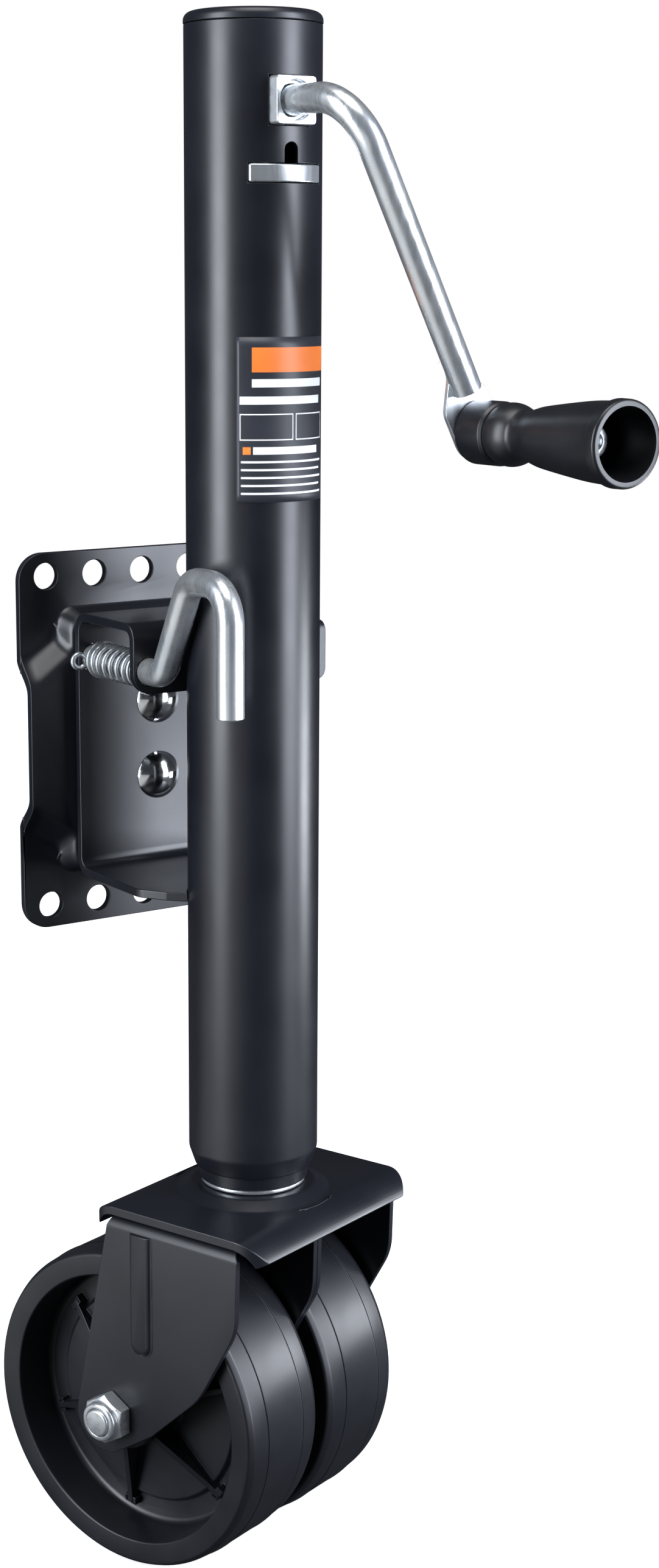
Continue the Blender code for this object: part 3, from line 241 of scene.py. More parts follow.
WHEEL_AXIS = Vector(JOINTS["wheel_near_spin"]["axis"])
JACK = Matrix.Translation(BASE)
CASTER = JACK @ Matrix.Rotation(math.atan2(WHEEL_AXIS.y, WHEEL_AXIS.x), 4, "Z")
AXLE = CASTER.inverted() @ Vector(JOINTS["wheel_near_spin"]["pos_m"]) / MM
CRANK_Z = joint_place("crank_spin").z
PIVOT_Z = joint_place("swivel").z

QUARTER = math.pi / 2
FACING_FRONT = (QUARTER, 0, 0)
FACING_BACK = (-QUARTER, 0, 0)
FACING_RIGHT = (0, QUARTER, 0)
FACING_LEFT = (0, -QUARTER, 0)
SIDEWAYS = (QUARTER, 0, QUARTER)

# Sizes that several pieces share. GAP is the clearance between pieces, and a cutter that goes
# right through a piece reaches FAR.

GAP = 0.3
FAR = 100
TUBE_R = extent("outer_tube", JACK)[1].x
SHEET = 4.0
PIN_R = 6.2
PIN_HOLE = PIN_R + 0.5
ROD_R = 6.35
TONGUE = 2.5
SHAFT_HOLE = 8.3
AXLE_HOLE = 6.8
STEM_HOLE = 12.3


# Outlines and shapes. Points closer than WELD, in metres, become one; edges that bend by more
# than SHARP stay crisp in the shading, and are the ones that are rounded.

WELD = 1e-7
SHARP = math.radians(32)


def arc(x, y, radius, start, end, steps=16):
    turns = [math.radians(start + (end - start) * i / steps) for i in range(steps + 1)]
    return [Vector((x + radius * math.cos(a), y + radius * math.sin(a))) for a in turns]


def rounded(corners, steps=6):
    """A polyline or outline whose corners are (point, radius); a radius of 0 keeps the corner."""
    points = [Vector(p).to_3d() for p, _ in corners]
    path = []
    for i, (corner, (_, radius)) in enumerate(zip(points, corners)):
        if not radius:
            path.append(corner)
            continue
        u = (points[i - 1] - corner).normalized()
        v = (points[(i + 1) % len(points)] - corner).normalized()
        half = u.angle(v) / 2
        centre = corner + (u + v).normalized() * radius / math.sin(half)
        start = corner + u * radius / math.tan(half) - centre
        end = corner + v * radius / math.tan(half) - centre
        sweep = start.angle(end)
        for k in range(steps + 1):
            a = math.sin((1 - k / steps) * sweep) / math.sin(sweep)
            b = math.sin(k / steps * sweep) / math.sin(sweep)
            path.append(centre + start * a + end * b)
    return path


def rectangle(half_x, half_y, radius, x=0.0, y=0.0, steps=6):
    signs = ((-1, -1), (1, -1), (1, 1), (-1, 1))
    return rounded([((x + sx * half_x, y + sy * half_y), radius) for sx, sy in signs], steps)


def skin(name, rows, loop=True, ring=False):
    """A mesh over rows of as many points; its ends are capped unless the rows form a ring."""
    made = bmesh.new()
    grid = [[made.verts.new(Vector(p).to_3d() * MM) for p in row] for row in rows]
    count = len(grid[0])
    for near, far in list(zip(grid, grid[1:])) + ([(grid[-1], grid[0])] if ring else []):
        for i in range(count if loop else count - 1):
            k = (i + 1) % count
            made.faces.new((near[i], near[k], far[k], far[i]))
    if not ring:
        made.faces.new(grid[0])
        made.faces.new(grid[-1])
    bmesh.ops.remove_doubles(made, verts=made.verts, dist=WELD)
    bmesh.ops.recalc_face_normals(made, faces=made.faces)
    mesh = bpy.data.meshes.new(name)
    made.to_mesh(mesh)
    made.free()
    obj = bpy.data.objects.new(name, mesh)
    bpy.context.scene.collection.objects.link(obj)
    return obj


def lathe(name, profile, steps=96, hollow=False):
    """A profile of (radius, z) turned about Z; a hollow one is a closed loop clear of the axis."""
    rows = []
    for i in range(steps):
        turn = Matrix.Rotation(2 * math.pi * i / steps, 3, "Z")
        rows.append([turn @ Vector((p[0], 0, p[1])) for p in profile])
    return skin(name, rows, loop=hollow, ring=True)


def rod(name, radius, start, end, steps=48):
    return lathe(name, [(0, start), (radius, start), (radius, end), (0, end)], steps)


def ring(name, outer, inner, low, high, edge, steps=96):
    """A ring or tube whose outer corners are rounded to `edge`."""
    corners = [((outer, high), edge), ((outer, low), edge), ((inner, low), 0), ((inner, high), 0)]
    return lathe(name, rounded(corners), steps, hollow=True)


def prism(name, outline, low, high):
    return skin(name, [[(p[0], p[1], z) for p in outline] for z in (low, high)])


def block(name, low, high):
    corners = [(low[0], low[1]), (high[0], low[1]), (high[0], high[1]), (low[0], high[1])]
    return prism(name, corners, low[2], high[2])


def sweep(name, path, radius, sides=32):
    """A round bar along a path."""
    points = [Vector(p) for p in path]
    along = [(b - a).normalized() for a, b in zip(points, points[1:])]
    along = [along[0]] + [(a + b).normalized() for a, b in zip(along, along[1:])] + [along[-1]]
    side = along[0].orthogonal().normalized()
    rows = []
    for point, ahead in zip(points, along):
        side = (side - ahead * side.dot(ahead)).normalized()
        over = ahead.cross(side)
        turns = [2 * math.pi * i / sides for i in range(sides)]
        rows.append([point + (side * math.cos(a) + over * math.sin(a)) * radius for a in turns])
    return skin(name, rows)


def smooth_curve(points, steps=6):
    """A Catmull-Rom curve through the points."""
    points = [Vector(p) for p in points]
    padded = [2 * points[0] - points[1], *points, 2 * points[-1] - points[-2]]
    path = []
    for a, b, c, d in zip(padded, padded[1:], padded[2:], padded[3:]):
        for i in range(steps):
            t = i / steps
            bend = (2 * a - 5 * b + 4 * c - d) * t + (3 * b - a - 3 * c + d) * t * t
            path.append(b + ((c - a) + bend) * t / 2)
    return path + [points[-1]]


def place(obj, space=JACK, at=(0, 0, 0), turn=(0, 0, 0)):
    spot = Matrix.Translation(Vector(at) * MM)
    obj.matrix_world = space @ spot @ Euler(turn).to_matrix().to_4x4()
    return obj


def combine(obj, operation, tools):
    for tool in tools:
        modifier = obj.modifiers.new(tool.name, "BOOLEAN")
        modifier.operation = operation
        modifier.object = tool
    bpy.context.view_layer.update()
    evaluated = obj.evaluated_get(bpy.context.evaluated_depsgraph_get())
    mesh = bpy.data.meshes.new_from_object(evaluated)
    obj.modifiers.clear()
    obj.data = mesh
    for tool in tools:
        bpy.data.objects.remove(tool, do_unlink=True)
    return obj


def cut(obj, *tools):
    return combine(obj, "DIFFERENCE", tools)


def join(obj, *tools):
    return combine(obj, "UNION", tools)


def clip(obj, tool):
    return combine(obj, "INTERSECT", [tool])


def round_edges(obj, width, clamp=False):
    bevel = obj.modifiers.new("Edges", "BEVEL")
    bevel.width = width * MM
    bevel.segments = 2
    bevel.limit_method = "ANGLE"
    bevel.angle_limit = SHARP
    bevel.use_clamp_overlap = clamp
    bevel.harden_normals = True


def dress(obj, edge):
    """Smooth shading between sharp edges, and edges rounded to `edge`."""
    made = bmesh.new()
    made.from_mesh(obj.data)
    bmesh.ops.remove_doubles(made, verts=made.verts, dist=0.004 * MM)
    bmesh.ops.dissolve_degenerate(made, edges=made.edges, dist=0.002 * MM)
    flat = math.radians(0.4)
    bmesh.ops.dissolve_limit(made, angle_limit=flat, verts=made.verts, edges=made.edges)
    made.to_mesh(obj.data)
    made.free()
    obj.data.shade_smooth()
    obj.data.set_sharp_from_angle(angle=SHARP)
    if edge:
        round_edges(obj, edge)


def stand_for(obj, node, edge):
    """A finished piece takes its CAD node's place and finish."""
    dress(obj, edge)
    obj.name = "fine_" + node
    obj.data.materials.clear()
    obj.data.materials.append(FINISHES[SLOTS[node]])
    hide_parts(node)


def done(obj, node, edge=0.3):
    """A finished piece stands for its CAD node and moves with that node's body."""
    stand_for(obj, node, edge)
    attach(obj, BODIES[node])


# Outer tube and what is fixed in it


def outer_tube():
    """The tube, its lower end drawn in round the leg, with openings for the shaft and bearing."""
    low, high = extent("outer_tube", JACK)
    bottom, top = low.z, high.z
    wall, drawn_in, taper, inner_taper = 2.6, 4.25, 8.5, 11
    bore, mouth = TUBE_R - wall, TUBE_R - drawn_in
    profile = [((TUBE_R, top), 0), ((TUBE_R, bottom + taper), 6)]
    profile += [((mouth + 1.6, bottom + 0.8), 1.5), ((mouth + 1, bottom), 0)]
    profile += [((mouth, bottom), 0), ((mouth, bottom + 4), 3)]
    profile += [((bore, bottom + inner_taper), 3), ((bore, top), 0)]
    tube = place(lathe("tube", rounded(profile), 128, hollow=True))
    inside = 20
    half = extent("front_shaft_bushing", JACK)[1].x + GAP
    window = block("window", (-half, -FAR, CRANK_Z - half), (half, -inside, CRANK_Z + half))
    rear = rod("rear", SHAFT_HOLE, FAR, 0)
    place(rear, JACK, (0, inside, CRANK_Z), FACING_BACK)
    plate_low, plate_high = extent("bearing_plate", JACK)
    slot_x = plate_high.x + GAP
    slot_low, slot_high = plate_low.z - GAP, plate_high.z + GAP
    slot = block("slot", (-slot_x, -FAR, slot_low), (slot_x, FAR, slot_high))
    arch_r, arch_low, arch_rise = 3.3, -8, 5.7
    arch = arc(0, 0, arch_r, 0, 180) + [Vector((-arch_r, arch_low)), Vector((arch_r, arch_low))]
    notch = prism("notch", arch, 0, FAR)
    place(notch, JACK, (0, -inside, plate_high.z + arch_rise), FACING_FRONT)
    cut(tube, place(window), place(slot), rear, notch)
    done(tube, "outer_tube", 0.35)


def top_cap():
    """A cap with a slight crown, whose skirt sits in the tube."""
    low, high = extent("top_cap", JACK)
    seam = extent("outer_tube", JACK)[1].z + GAP
    skirt, wall, thick = TUBE_R - 2.9, 3, 2
    crown, flat = 0.15, 16
    profile = [((0, high.z + crown), 0), ((flat, high.z), 0), ((high.x, high.z), 3.6)]
    profile += [((high.x, seam), 0.4), ((skirt, seam), 0), ((skirt, low.z), 0)]
    profile += [((skirt - wall, low.z), 0), ((skirt - wall, seam - thick), 0)]
    profile.append(((0, seam - thick), 0))
    done(place(lathe("cap", rounded(profile, 8), 128)), "top_cap", 0)


def front_bushing():
    """A square bushing whose mouth is wider than its bore."""
    low, high = extent("front_shaft_bushing", JACK)
    bushing = prism("bushing", rectangle(high.x, high.x, 1.6), 0, high.y - low.y)
    place(bushing, JACK, (0, high.y, CRANK_Z), FACING_FRONT)
    mouth_deep, bore_r = 4, 6.7
    profile = [(0, FAR), (SHAFT_HOLE, FAR), (SHAFT_HOLE, 0)]
    profile += [(bore_r, 0), (bore_r, -FAR), (0, -FAR)]
    bore = lathe("bore", profile, 64)
    place(bore, JACK, (0, low.y + mouth_deep, CRANK_Z), FACING_FRONT)
    done(cut(bushing, bore), "front_shaft_bushing", 0.5)


LABEL_WRAP = 94
LABEL_PRINTS = (
    # left and right in degrees from the label's left edge, top and bottom in mm from its top
    ("label_orange", 13, 94, 4.4, 14.9),
    ("label_white", 13, 88, 17.8, 21.3),
    ("label_white", 3, 84, 25.2, 28.6),
    ("label_white", 3, 49, 32.6, 44),
    ("label_film", 3.7, 48.3, 33.1, 43.5),
    ("label_white", 51.6, 89, 32.6, 44),
    ("label_film", 52.3, 88.3, 33.1, 43.5),
    ("label_orange", 5.5, 12, 46.8, 50),
    ("label_white", 14, 80, 46.8, 50),
    *(("label_white", 4, 88 - 3 * (i % 2), 52.8 + 3.4 * i, 53.7 + 3.4 * i) for i in range(5)),
)


def label():
    """A thin film round the tube's front, printed with plain blocks and lines."""
    low, high = extent("label", JACK)
    tall = high.z - low.z
    steps = 32
    columns = {LABEL_WRAP * i / steps for i in range(steps + 1)}
    rows = {0, tall}
    for _, left, right, top, bottom in LABEL_PRINTS:
        columns |= {left, right}
        rows |= {top, bottom}
    columns, rows = sorted(columns), sorted(rows)
    radius = TUBE_R + 0.08
    points = []
    for drop in rows:
        turns = [math.radians(-90 - LABEL_WRAP / 2 + a) for a in columns]
        points.append([(radius * math.cos(a), radius * math.sin(a), high.z - drop) for a in turns])
    made = bmesh.new()
    grid = [[made.verts.new(Vector(p) * MM) for p in row] for row in points]
    names = ["label_film", "label_orange", "label_white"]
    for j in range(len(rows) - 1):
        for i in range(len(columns) - 1):
            upper, lower = grid[j], grid[j + 1]
            face = made.faces.new((upper[i], lower[i], lower[i + 1], upper[i + 1]))
            across, down = (columns[i] + columns[i + 1]) / 2, (rows[j] + rows[j + 1]) / 2
            for name, left, right, top, bottom in LABEL_PRINTS:
                if left < across < right and top < down < bottom:
                    face.material_index = names.index(name)
            face.smooth = True
    mesh = bpy.data.meshes.new("label")
    made.to_mesh(mesh)
    made.free()
    film = bpy.data.objects.new("fine_label", mesh)
    bpy.context.scene.collection.objects.link(film)
    for name in names:
        mesh.materials.append(FINISHES[name])
    solidify = film.modifiers.new("Thickness", "SOLIDIFY")
    solidify.thickness = 0.2 * MM
    solidify.offset = 1
    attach(place(film), BODIES["label"])
    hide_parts("label")


# Swivel bracket, pivot and pull pin


def bent_section(corners, radius):
    """A sheet's section along a bent line: `radius` is the bend's outside radius."""
    last = len(corners) - 1
    outside = rounded([(p, radius if 0 < i < last else 0) for i, p in enumerate(corners)])
    left = []
    for i, p in enumerate(outside):
        ahead = (outside[min(i + 1, len(outside) - 1)] - outside[max(i - 1, 0)]).normalized()
        left.append(p + Vector((-ahead.y, ahead.x, 0)) * SHEET)
    return outside + left[::-1]


def flap(name, front, reach, high, drop, bend, left, right, above):
    """A strip bent down from the upper flange, `front` mm behind the tube's axis.

    Its sheet starts `reach` behind the bend. left and right are (x, radius of the lower corner),
    and the cutter that rounds those corners goes `above` over the flange.
    """
    (left_x, left_r), (right_x, right_r) = left, right
    section = bent_section([(front + reach, high), (front, high), (front, high - drop)], bend)
    strip = place(prism(name, section, left_x, right_x), JACK, (0, 0, 0), SIDEWAYS)
    outline = [((left_x, above), 0), ((left_x, -drop), left_r)]
    outline += [((right_x, -drop), right_r), ((right_x, above), 0)]
    edge = prism(name + " edge", rounded(outline), -80, 20)
    return clip(strip, place(edge, JACK, (0, 0, high), FACING_FRONT))


def swivel_bracket():
    """A channel whose flanges hug the tube, with a tab for the pull pin and a small ear."""
    low, high = extent("swivel_bracket", JACK)
    half, web = high.x, high.y
    beyond, before = web + 5, low.y - 5
    channel = [(before, low.z), (web, low.z), (web, high.z), (before, high.z)]
    body = prism("bracket", bent_section(channel, 9), -half, half)
    place(body, JACK, (0, 0, 0), SIDEWAYS)
    hug = TUBE_R + GAP
    tab_x, tab_front, tab_drop = -11, 33, high.z - 413
    ear_x, ear_left, ear_front, ear_drop = 38.5, 31, -2, 27
    behind_tab = tab_front + 9
    above = [(-half, beyond), (-half, behind_tab), (tab_x, behind_tab)]
    above += [*arc(0, 0, hug, 106, 8, 24), (ear_x, 4), (ear_x, 13), (half, 23), (half, beyond)]
    right = rounded([((half, beyond), 0), ((half, 31), 10), ((35, 19), 6), ((28.0, 11.6), 0)])
    left = [Vector((-p.x, p.y)) for p in reversed(right)]
    below = right + arc(0, 0, hug, 23, 157, 24)[1:-1] + left
    middle_z, overlap = (low.z + high.z) / 2, 1
    plan_above = place(prism("plan above", above, middle_z, high.z + 5))
    plan_below = place(prism("plan below", below, low.z - 5, middle_z + overlap))
    clip(body, join(plan_above, plan_below))
    tab = flap("tab", tab_front, 12, high.z, tab_drop, 8, (-half, 10), (tab_x, 2.5), 60)
    ear = flap("ear", ear_front, 14, high.z, ear_drop, 5, (ear_left, 2), (ear_x, 5), 20)
    join(body, tab, ear)
    done(cut(body, pin_hole(8)), "swivel_bracket", 0.5)


def pin_axis():
    low, high = extent("pin_washer", JACK)
    return (low + high) / 2


def pin_hole(start):
    """A cutter on the pull pin's axis that starts `start` mm behind the tube's axis."""
    axis = pin_axis()
    return place(rod("pin hole", PIN_HOLE, FAR, start), JACK, (axis.x, 0, axis.z), FACING_BACK)


def rivets():
    """Pivot rivets: a polished dome in front, and a button behind."""
    wide, rise = 11.5, 6.2
    neck, button, thick = 5, 8, 2.6
    for node in ("pivot_rivet_upper", "pivot_rivet_lower"):
        low, high = extent(node, JACK)
        centre_z = (low.z + high.z) / 2
        sphere = (wide * wide + rise * rise) / (2 * rise)
        start = math.degrees(math.asin(wide / sphere))
        dome = arc(0, low.y + sphere, sphere, -90, -90 + start, 16)
        head, tail = low.y + rise, high.y - thick
        profile = [*dome, (wide - 0.3, head), (neck, head), (neck, tail), (button, tail)]
        profile += [(button - 0.6, high.y - 0.4), (button - 1.2, high.y), (0, high.y)]
        done(place(lathe("rivet", profile, 64), JACK, (0, 0, centre_z), FACING_BACK), node, 0)


def pull_pin():
    """A round bar: through the tab, out to the left, forward and down into a hook."""
    low, high = extent("pull_pin", JACK)
    axis = pin_axis()
    bend_y = 20
    hook_x, hook_y, hook_low = -38.5, -9.5, 413
    hook_top, hook_front = high.z - PIN_R, low.y + PIN_R
    path = rounded(
        [
            ((axis.x, high.y, axis.z), 0),
            ((axis.x, bend_y, axis.z), 11),
            ((hook_x, hook_y, hook_top), 14),
            ((hook_x, hook_front, hook_top), 16),
            ((hook_x, hook_front, hook_low), 0),
        ],
        14,
    )
    done(place(sweep("pin", path, PIN_R, 40)), "pull_pin", 0.7)


def pin_spring():
    """A compression spring with closed ends, between the jack and the pin."""
    low, high = extent("pin_spring", JACK)
    wire = 0.95
    radius = (high.z - low.z) / 2 - wire
    centre = pin_axis()
    turns, per_turn = 7, 28
    start, end = low.y + wire, high.y - wire
    closed, closed_pitch = 0.8, 2 * wire
    open_pitch = (end - start - 2 * closed * closed_pitch) / (turns - 2 * closed)
    path = []
    for i in range(turns * per_turn + 1):
        turn = i / per_turn
        first, last = min(turn, closed), max(turn - turns + closed, 0)
        y = start + closed_pitch * (first + last) + open_pitch * (turn - first - last)
        a = 2 * math.pi * turn
        x, z = centre.x + radius * math.cos(a), centre.z + radius * math.sin(a)
        path.append((x, y, z))
    spring = place(sweep("spring", path, wire, 12))
    stand_for(spring, "pin_spring", 0)
    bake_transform(spring)


# Mounting plate. Its pan is a cross, given here at its foot and its top as half sizes: the
# upright's width and height, then the arms' height at the plate's sides and at the upright.

PAN_FOOT = (48, 65, 44, 52)
PAN_TOP = (43, 60, 27, 42)


def pan_outline(plate_x, narrow, tall, arm_low, arm_high):
    beyond = 80
    quarter = [((beyond, arm_low), 0), ((plate_x - 4, arm_low), 10)]
    quarter += [((narrow, arm_high), 7), ((narrow, tall), 9)]
    upper = quarter + [((-x, z), r) for (x, z), r in reversed(quarter)]
    lower = [((-x, -z), r) for (x, z), r in upper]
    return [Vector((p.x, 0, p.y)) for p in rounded(upper + lower, 8)]


def pan_solid(name, plate_x, wall, front, land, deep):
    """The raised pan with an S-shaped side, or with `wall` its hollow."""
    foot = pan_outline(plate_x, *(size - wall for size in PAN_FOOT))
    top = pan_outline(plate_x, *(size - wall for size in PAN_TOP))
    rows = [[Vector((p.x, deep, p.z)) for p in foot]]
    steps = 10
    for i in range(steps + 1):
        share = i / steps
        rise = (1 - math.cos(math.pi * share)) / 2
        y = land + (front - land) * rise
        rows.append([])
        for p, q in zip(foot, top):
            rows[-1].append((p.x + (q.x - p.x) * share, y, p.z + (q.z - p.z) * share))
    return skin(name, rows)


def mounting_plate():
    """A stamped plate: a flat rim with two rows of holes, and a hollow pan raised to the front."""
    low, high = extent("mounting_plate", JACK)
    plate_x, plate_z = high.x, (high.z - low.z) / 2
    back, land, front = high.y, high.y - SHEET, low.y
    behind = back + 9
    corner, inset, sunk, wall = 13, 0.05, 1.3, 2.2
    hole_r, pitch, row_z = 6.3, 26, 79.5
    centre = (0, 0, PIVOT_Z)
    plate = prism("plate", rectangle(plate_x, plate_z, corner, steps=12), -back, -land)
    place(plate, JACK, centre, FACING_FRONT)
    pan = place(pan_solid("pan", plate_x, 0, front, land, land + sunk), JACK, centre)
    limit = rectangle(plate_x - inset, plate_z - inset, corner, steps=12)
    clip(pan, place(prism("limit", limit, -back - 20, 0), JACK, centre, FACING_FRONT))
    hollow = pan_solid("hollow", plate_x, wall, front + SHEET, back + 0.4, behind)
    join(plate, pan)

    def bore(radius, x, z, steps=48, deep=40):
        cutter = rod("bore", radius, 0, -deep, steps)
        return place(cutter, JACK, (x, behind, PIVOT_Z + z), FACING_BACK)

    columns, rows = (-2, -1, 0, 1, 2), (-row_z, row_z)
    holes = [bore(hole_r, pitch * i, z, deep=30) for i in columns for z in rows]
    pivot = bore(extent("pivot_spacer", JACK)[1].x + GAP, 0, 0, 96)
    axis = pin_axis()
    rise = axis.z - PIVOT_Z
    stops = [bore(PIN_HOLE, x, z) for x, z in ((rise, -axis.x), (axis.x, rise))]
    done(cut(plate, place(hollow, JACK, centre), *holes, pivot, *stops), "mounting_plate", 0.45)


# Crank and grip


def crank():
    """A round rod, bent down into an arm, whose flattened end holds the grip's bolt."""
    grip = joint_place("grip_spin")
    lean = math.atan2(grip.x, CRANK_Z - grip.z)
    arm = math.hypot(grip.x, CRANK_Z - grip.z)
    corner_y = grip.y + TONGUE - ROD_R
    shaft_y, bend, bolt_r = 37, 24, 4.4

    def arm_point(along, across=0.0):
        down, side = math.cos(lean), math.sin(lean)
        x = along * side + across * down
        return Vector((x, corner_y, CRANK_Z - along * down + across * side))

    rod_end = arm - 20
    corners = [((0, shaft_y, CRANK_Z), 0), ((0, corner_y, CRANK_Z), bend), (arm_point(rod_end), 0)]
    bar = place(sweep("rod", rounded(corners, 24), ROD_R, 48))
    wide = 12.5
    tip = arm + wide
    half = [((rod_end - 16, 3), 0), ((rod_end - 8, 4), 6), ((rod_end + 5, wide), 8)]
    half.append(((tip, wide), wide - 0.5))
    mirrored = [((along, -across), r) for (along, across), r in reversed(half)]
    points = [arm_point(p.x, p.y) for p in rounded(half + mirrored, 10)]
    back = corner_y + ROD_R - 0.05
    tongue = prism("tongue", [(p.x, p.z) for p in points], -back, -back + TONGUE)
    join(bar, place(tongue, JACK, (0, 0, 0), FACING_FRONT))
    cut(bar, place(rod("bolt hole", bolt_r, FAR, -FAR, 32), JACK, grip, FACING_FRONT))
    done(bar, "crank_arm", 0.4)


def handle_grip():
    """A turned grip: a base disc, a ball, a neck that flares, a band and a rim round a recess."""
    low, high = extent("handle_grip", JACK)
    length = high.y - low.y + GAP
    bolt_r, recess_r, recess = 4.4, 12.6, 71.5
    rim_r, rim_in, band = 18.2, 15.4, 5.5
    rim = [((rim_in, length), 0), ((rim_r, length), 1.4)]
    rim += [((rim_r + 0.1, length - band), 0.5), ((rim_r - 0.7, length - band - 0.8), 0.5)]
    flare = [(17.2, length - 9), (16.4, 74), (13.6, 50), (12.2, 42.5), (10.6, 37), (10.3, 34)]
    ball = arc(0, 23.5, 13.7, 38, -24, 20)
    base_r, base = 13.9, 16.6
    disc = [((base_r - 1, base + 1.4), 0), ((base_r, base), 0.8)]
    disc += [((base_r, GAP), 1.2), ((bolt_r, GAP), 0)]
    inside = [Vector((bolt_r, recess)), Vector((recess_r, recess))]
    profile = [*rounded(rim), *smooth_curve(flare), *ball, *rounded(disc), *inside]
    grip = lathe("grip", profile, 96, hollow=True)
    done(place(grip, JACK, joint_place("grip_spin"), FACING_FRONT), "handle_grip", 0)


# Leg, caster plate, forks and axle


def leg():
    low, high = extent("inner_leg", JACK)
    wall = 3
    done(place(ring("leg", high.x, high.x - wall, low.z, high.z, 0.6)), "inner_leg", 0)


def swivel_washer():
    low, high = extent("swivel_washer", JACK)
    outer = high.x - 1.1
    done(place(ring("washer", outer, STEM_HOLE, low.z, high.z, 0.9)), "swivel_washer", 0)


def caster_plate():
    """A round-cornered plate, its front and back rolled down into lips, with a raised boss."""
    half_x, half_y, boss_top = extent("caster_plate", CASTER)[1]
    rise, sheet, radius = 3.8, 4.3, 16
    top = boss_top - rise
    turn = 68
    flat = half_y - radius * math.sin(math.radians(turn))

    def lips(r):
        right = arc(flat, top - radius, r, 90, 90 - turn, 20)
        return [Vector((-p.x, p.y)) for p in reversed(right)] + right

    section = lips(radius) + lips(radius - sheet)[::-1]
    plate = prism("plate", section, -half_x - 2, half_x + 2)
    place(plate, CASTER, (0, 0, 0), SIDEWAYS)
    trim = prism("trim", rectangle(half_x, half_y + 1, 14, steps=14), top - 30, top + 10)
    clip(plate, place(trim, CASTER))
    foot_r, sunk = 38.5, 1.5
    slope = [((0, boss_top), 0), ((29, boss_top), 3), ((36, top - 0.1), 5)]
    slope.append(((foot_r, top - 0.1), 0))
    boss = [*rounded(slope, 8), (foot_r, top - sunk), (0, top - sunk)]
    join(plate, place(lathe("boss", boss, 128), CASTER))
    inside, below = boss_top - sheet, top - sheet - 4
    under = lathe("under", [(0, inside), (22, inside), (33, below), (0, below)], 96)
    hole = rod("hole", STEM_HOLE, top + 20, top - 20, 64)
    done(cut(plate, place(under, CASTER), place(hole, CASTER)), "caster_plate", 0.5)


def fork(node, side):
    """A sheet folded over from the inner cheek, by the wheel, to the outer one with its rib."""
    low, high = extent(node, CASTER)
    rib_rise = 1.8
    reach = max(abs(low.x), abs(high.x)) - rib_rise
    top = high.z
    inner, sheet, bend, bottom = 0.15, 3.0, 5.5, 40
    outside = [((inner, bottom), 0), ((inner, top), 2.5), ((reach, top), bend)]
    outside.append(((reach, bottom), 0))
    inside = [((reach - sheet, bottom), 0), ((reach - sheet, top - sheet), bend - sheet)]
    inside += [((inner + sheet, top - sheet), 0.8), ((inner + sheet, bottom), 0)]
    section = [(side * p.x, p.y) for p in rounded(outside, 8) + rounded(inside, 8)]
    piece = place(prism("fork", section, -FAR, FAR), CASTER, (0, 0, 0), FACING_FRONT)
    foot_r = 17
    foot = arc(AXLE.y + 5, AXLE.z - 3, foot_r, -112, 10, 24)
    shoulder = 171
    edge = [((38, shoulder), 3), ((33.5, top + 5), 0), ((-33.5, top + 5), 0)]
    edge += [((-38.2, shoulder), 3), ((-37.3, 137), 30), ((-16, 99), 40), ((12, 73), 12)]
    edge = rounded([*edge, (foot[0], 0)], 10)
    cheek = prism("cheek", [Vector(p).to_2d() for p in edge[:-1]] + foot, -FAR, FAR)
    clip(piece, place(cheek, CASTER, (0, 0, 0), SIDEWAYS))
    rib_y, rib_z, rib_half = 17, 152, 34
    rows = []
    for x, half_y in ((-1, 6.6), (0.3, 6.3), (1.0, 5.7), (1.5, 4.9), (rib_rise, 3.6)):
        loop = rectangle(half_y, rib_half + half_y, half_y - 0.1, steps=8)
        rows.append([(side * (reach + x), p.x, p.y) for p in loop])
    rib = place(skin("rib", rows), CASTER, (0, rib_y, rib_z))
    rib_top = block("rib top", (-FAR, -FAR, top - bend + 0.5), (FAR, FAR, top + FAR))
    cut(rib, place(rib_top, CASTER))
    join(piece, rib)
    hole = place(rod("hole", AXLE_HOLE, FAR, -FAR), CASTER, (0, AXLE.y, AXLE.z), FACING_RIGHT)
    notch_r, notch_deep = 22, 20
    notch = place(rod("notch", notch_r, top + notch_deep, top - notch_deep, 64), CASTER)
    done(cut(piece, hole, notch), node, 0.4)


def lock_nut():
    """A hexagon with its outer corners chamfered, and a round collar."""
    low, high = extent("axle_lock_nut", CASTER)
    seat, tip = -high.x, -low.x
    tall, flats, corner, collar_r = 7.5, 21 / math.sqrt(3), 13.5, 9.4
    turns = [math.pi / 3 * i for i in range(6)]
    hexagon = [Vector((flats * math.cos(a), flats * math.sin(a))) for a in turns]
    nut = prism("nut", hexagon, 0, tall)
    cone = [(0, tall), (9.8, tall), (corner, tall - 2.2), (corner, -1), (0, -1)]
    clip(nut, lathe("cone", cone, 96))
    end = tip - seat
    collar = [((0, end), 0), ((collar_r, end), 1.6), ((collar_r, tall - 1), 0), ((0, tall - 1), 0)]
    join(nut, lathe("collar", rounded(collar), 96))
    cut(nut, rod("bore", AXLE_HOLE, FAR, -FAR))
    done(place(nut, CASTER, (-seat, AXLE.y, AXLE.z), FACING_LEFT), "axle_lock_nut", 0.3)


def axle_bolt():
    low, high = extent("axle_bolt", CASTER)
    head_r, head, shank_r = 10.6, 8, 6.5
    seat = high.x - head
    profile = [((0, high.x), 0), ((head_r, high.x), 2.5), ((head_r, seat), 0)]
    profile += [((shank_r, seat), 0), ((shank_r, low.x), 1.2), ((0, low.x), 0)]
    bolt = lathe("bolt", rounded(profile, 5), 64)
    done(place(bolt, CASTER, (0, AXLE.y, AXLE.z), FACING_RIGHT), "axle_bolt", 0)


# Wheels: a dished web with ribs of (radius, height), and a pad where each rib meets the rim

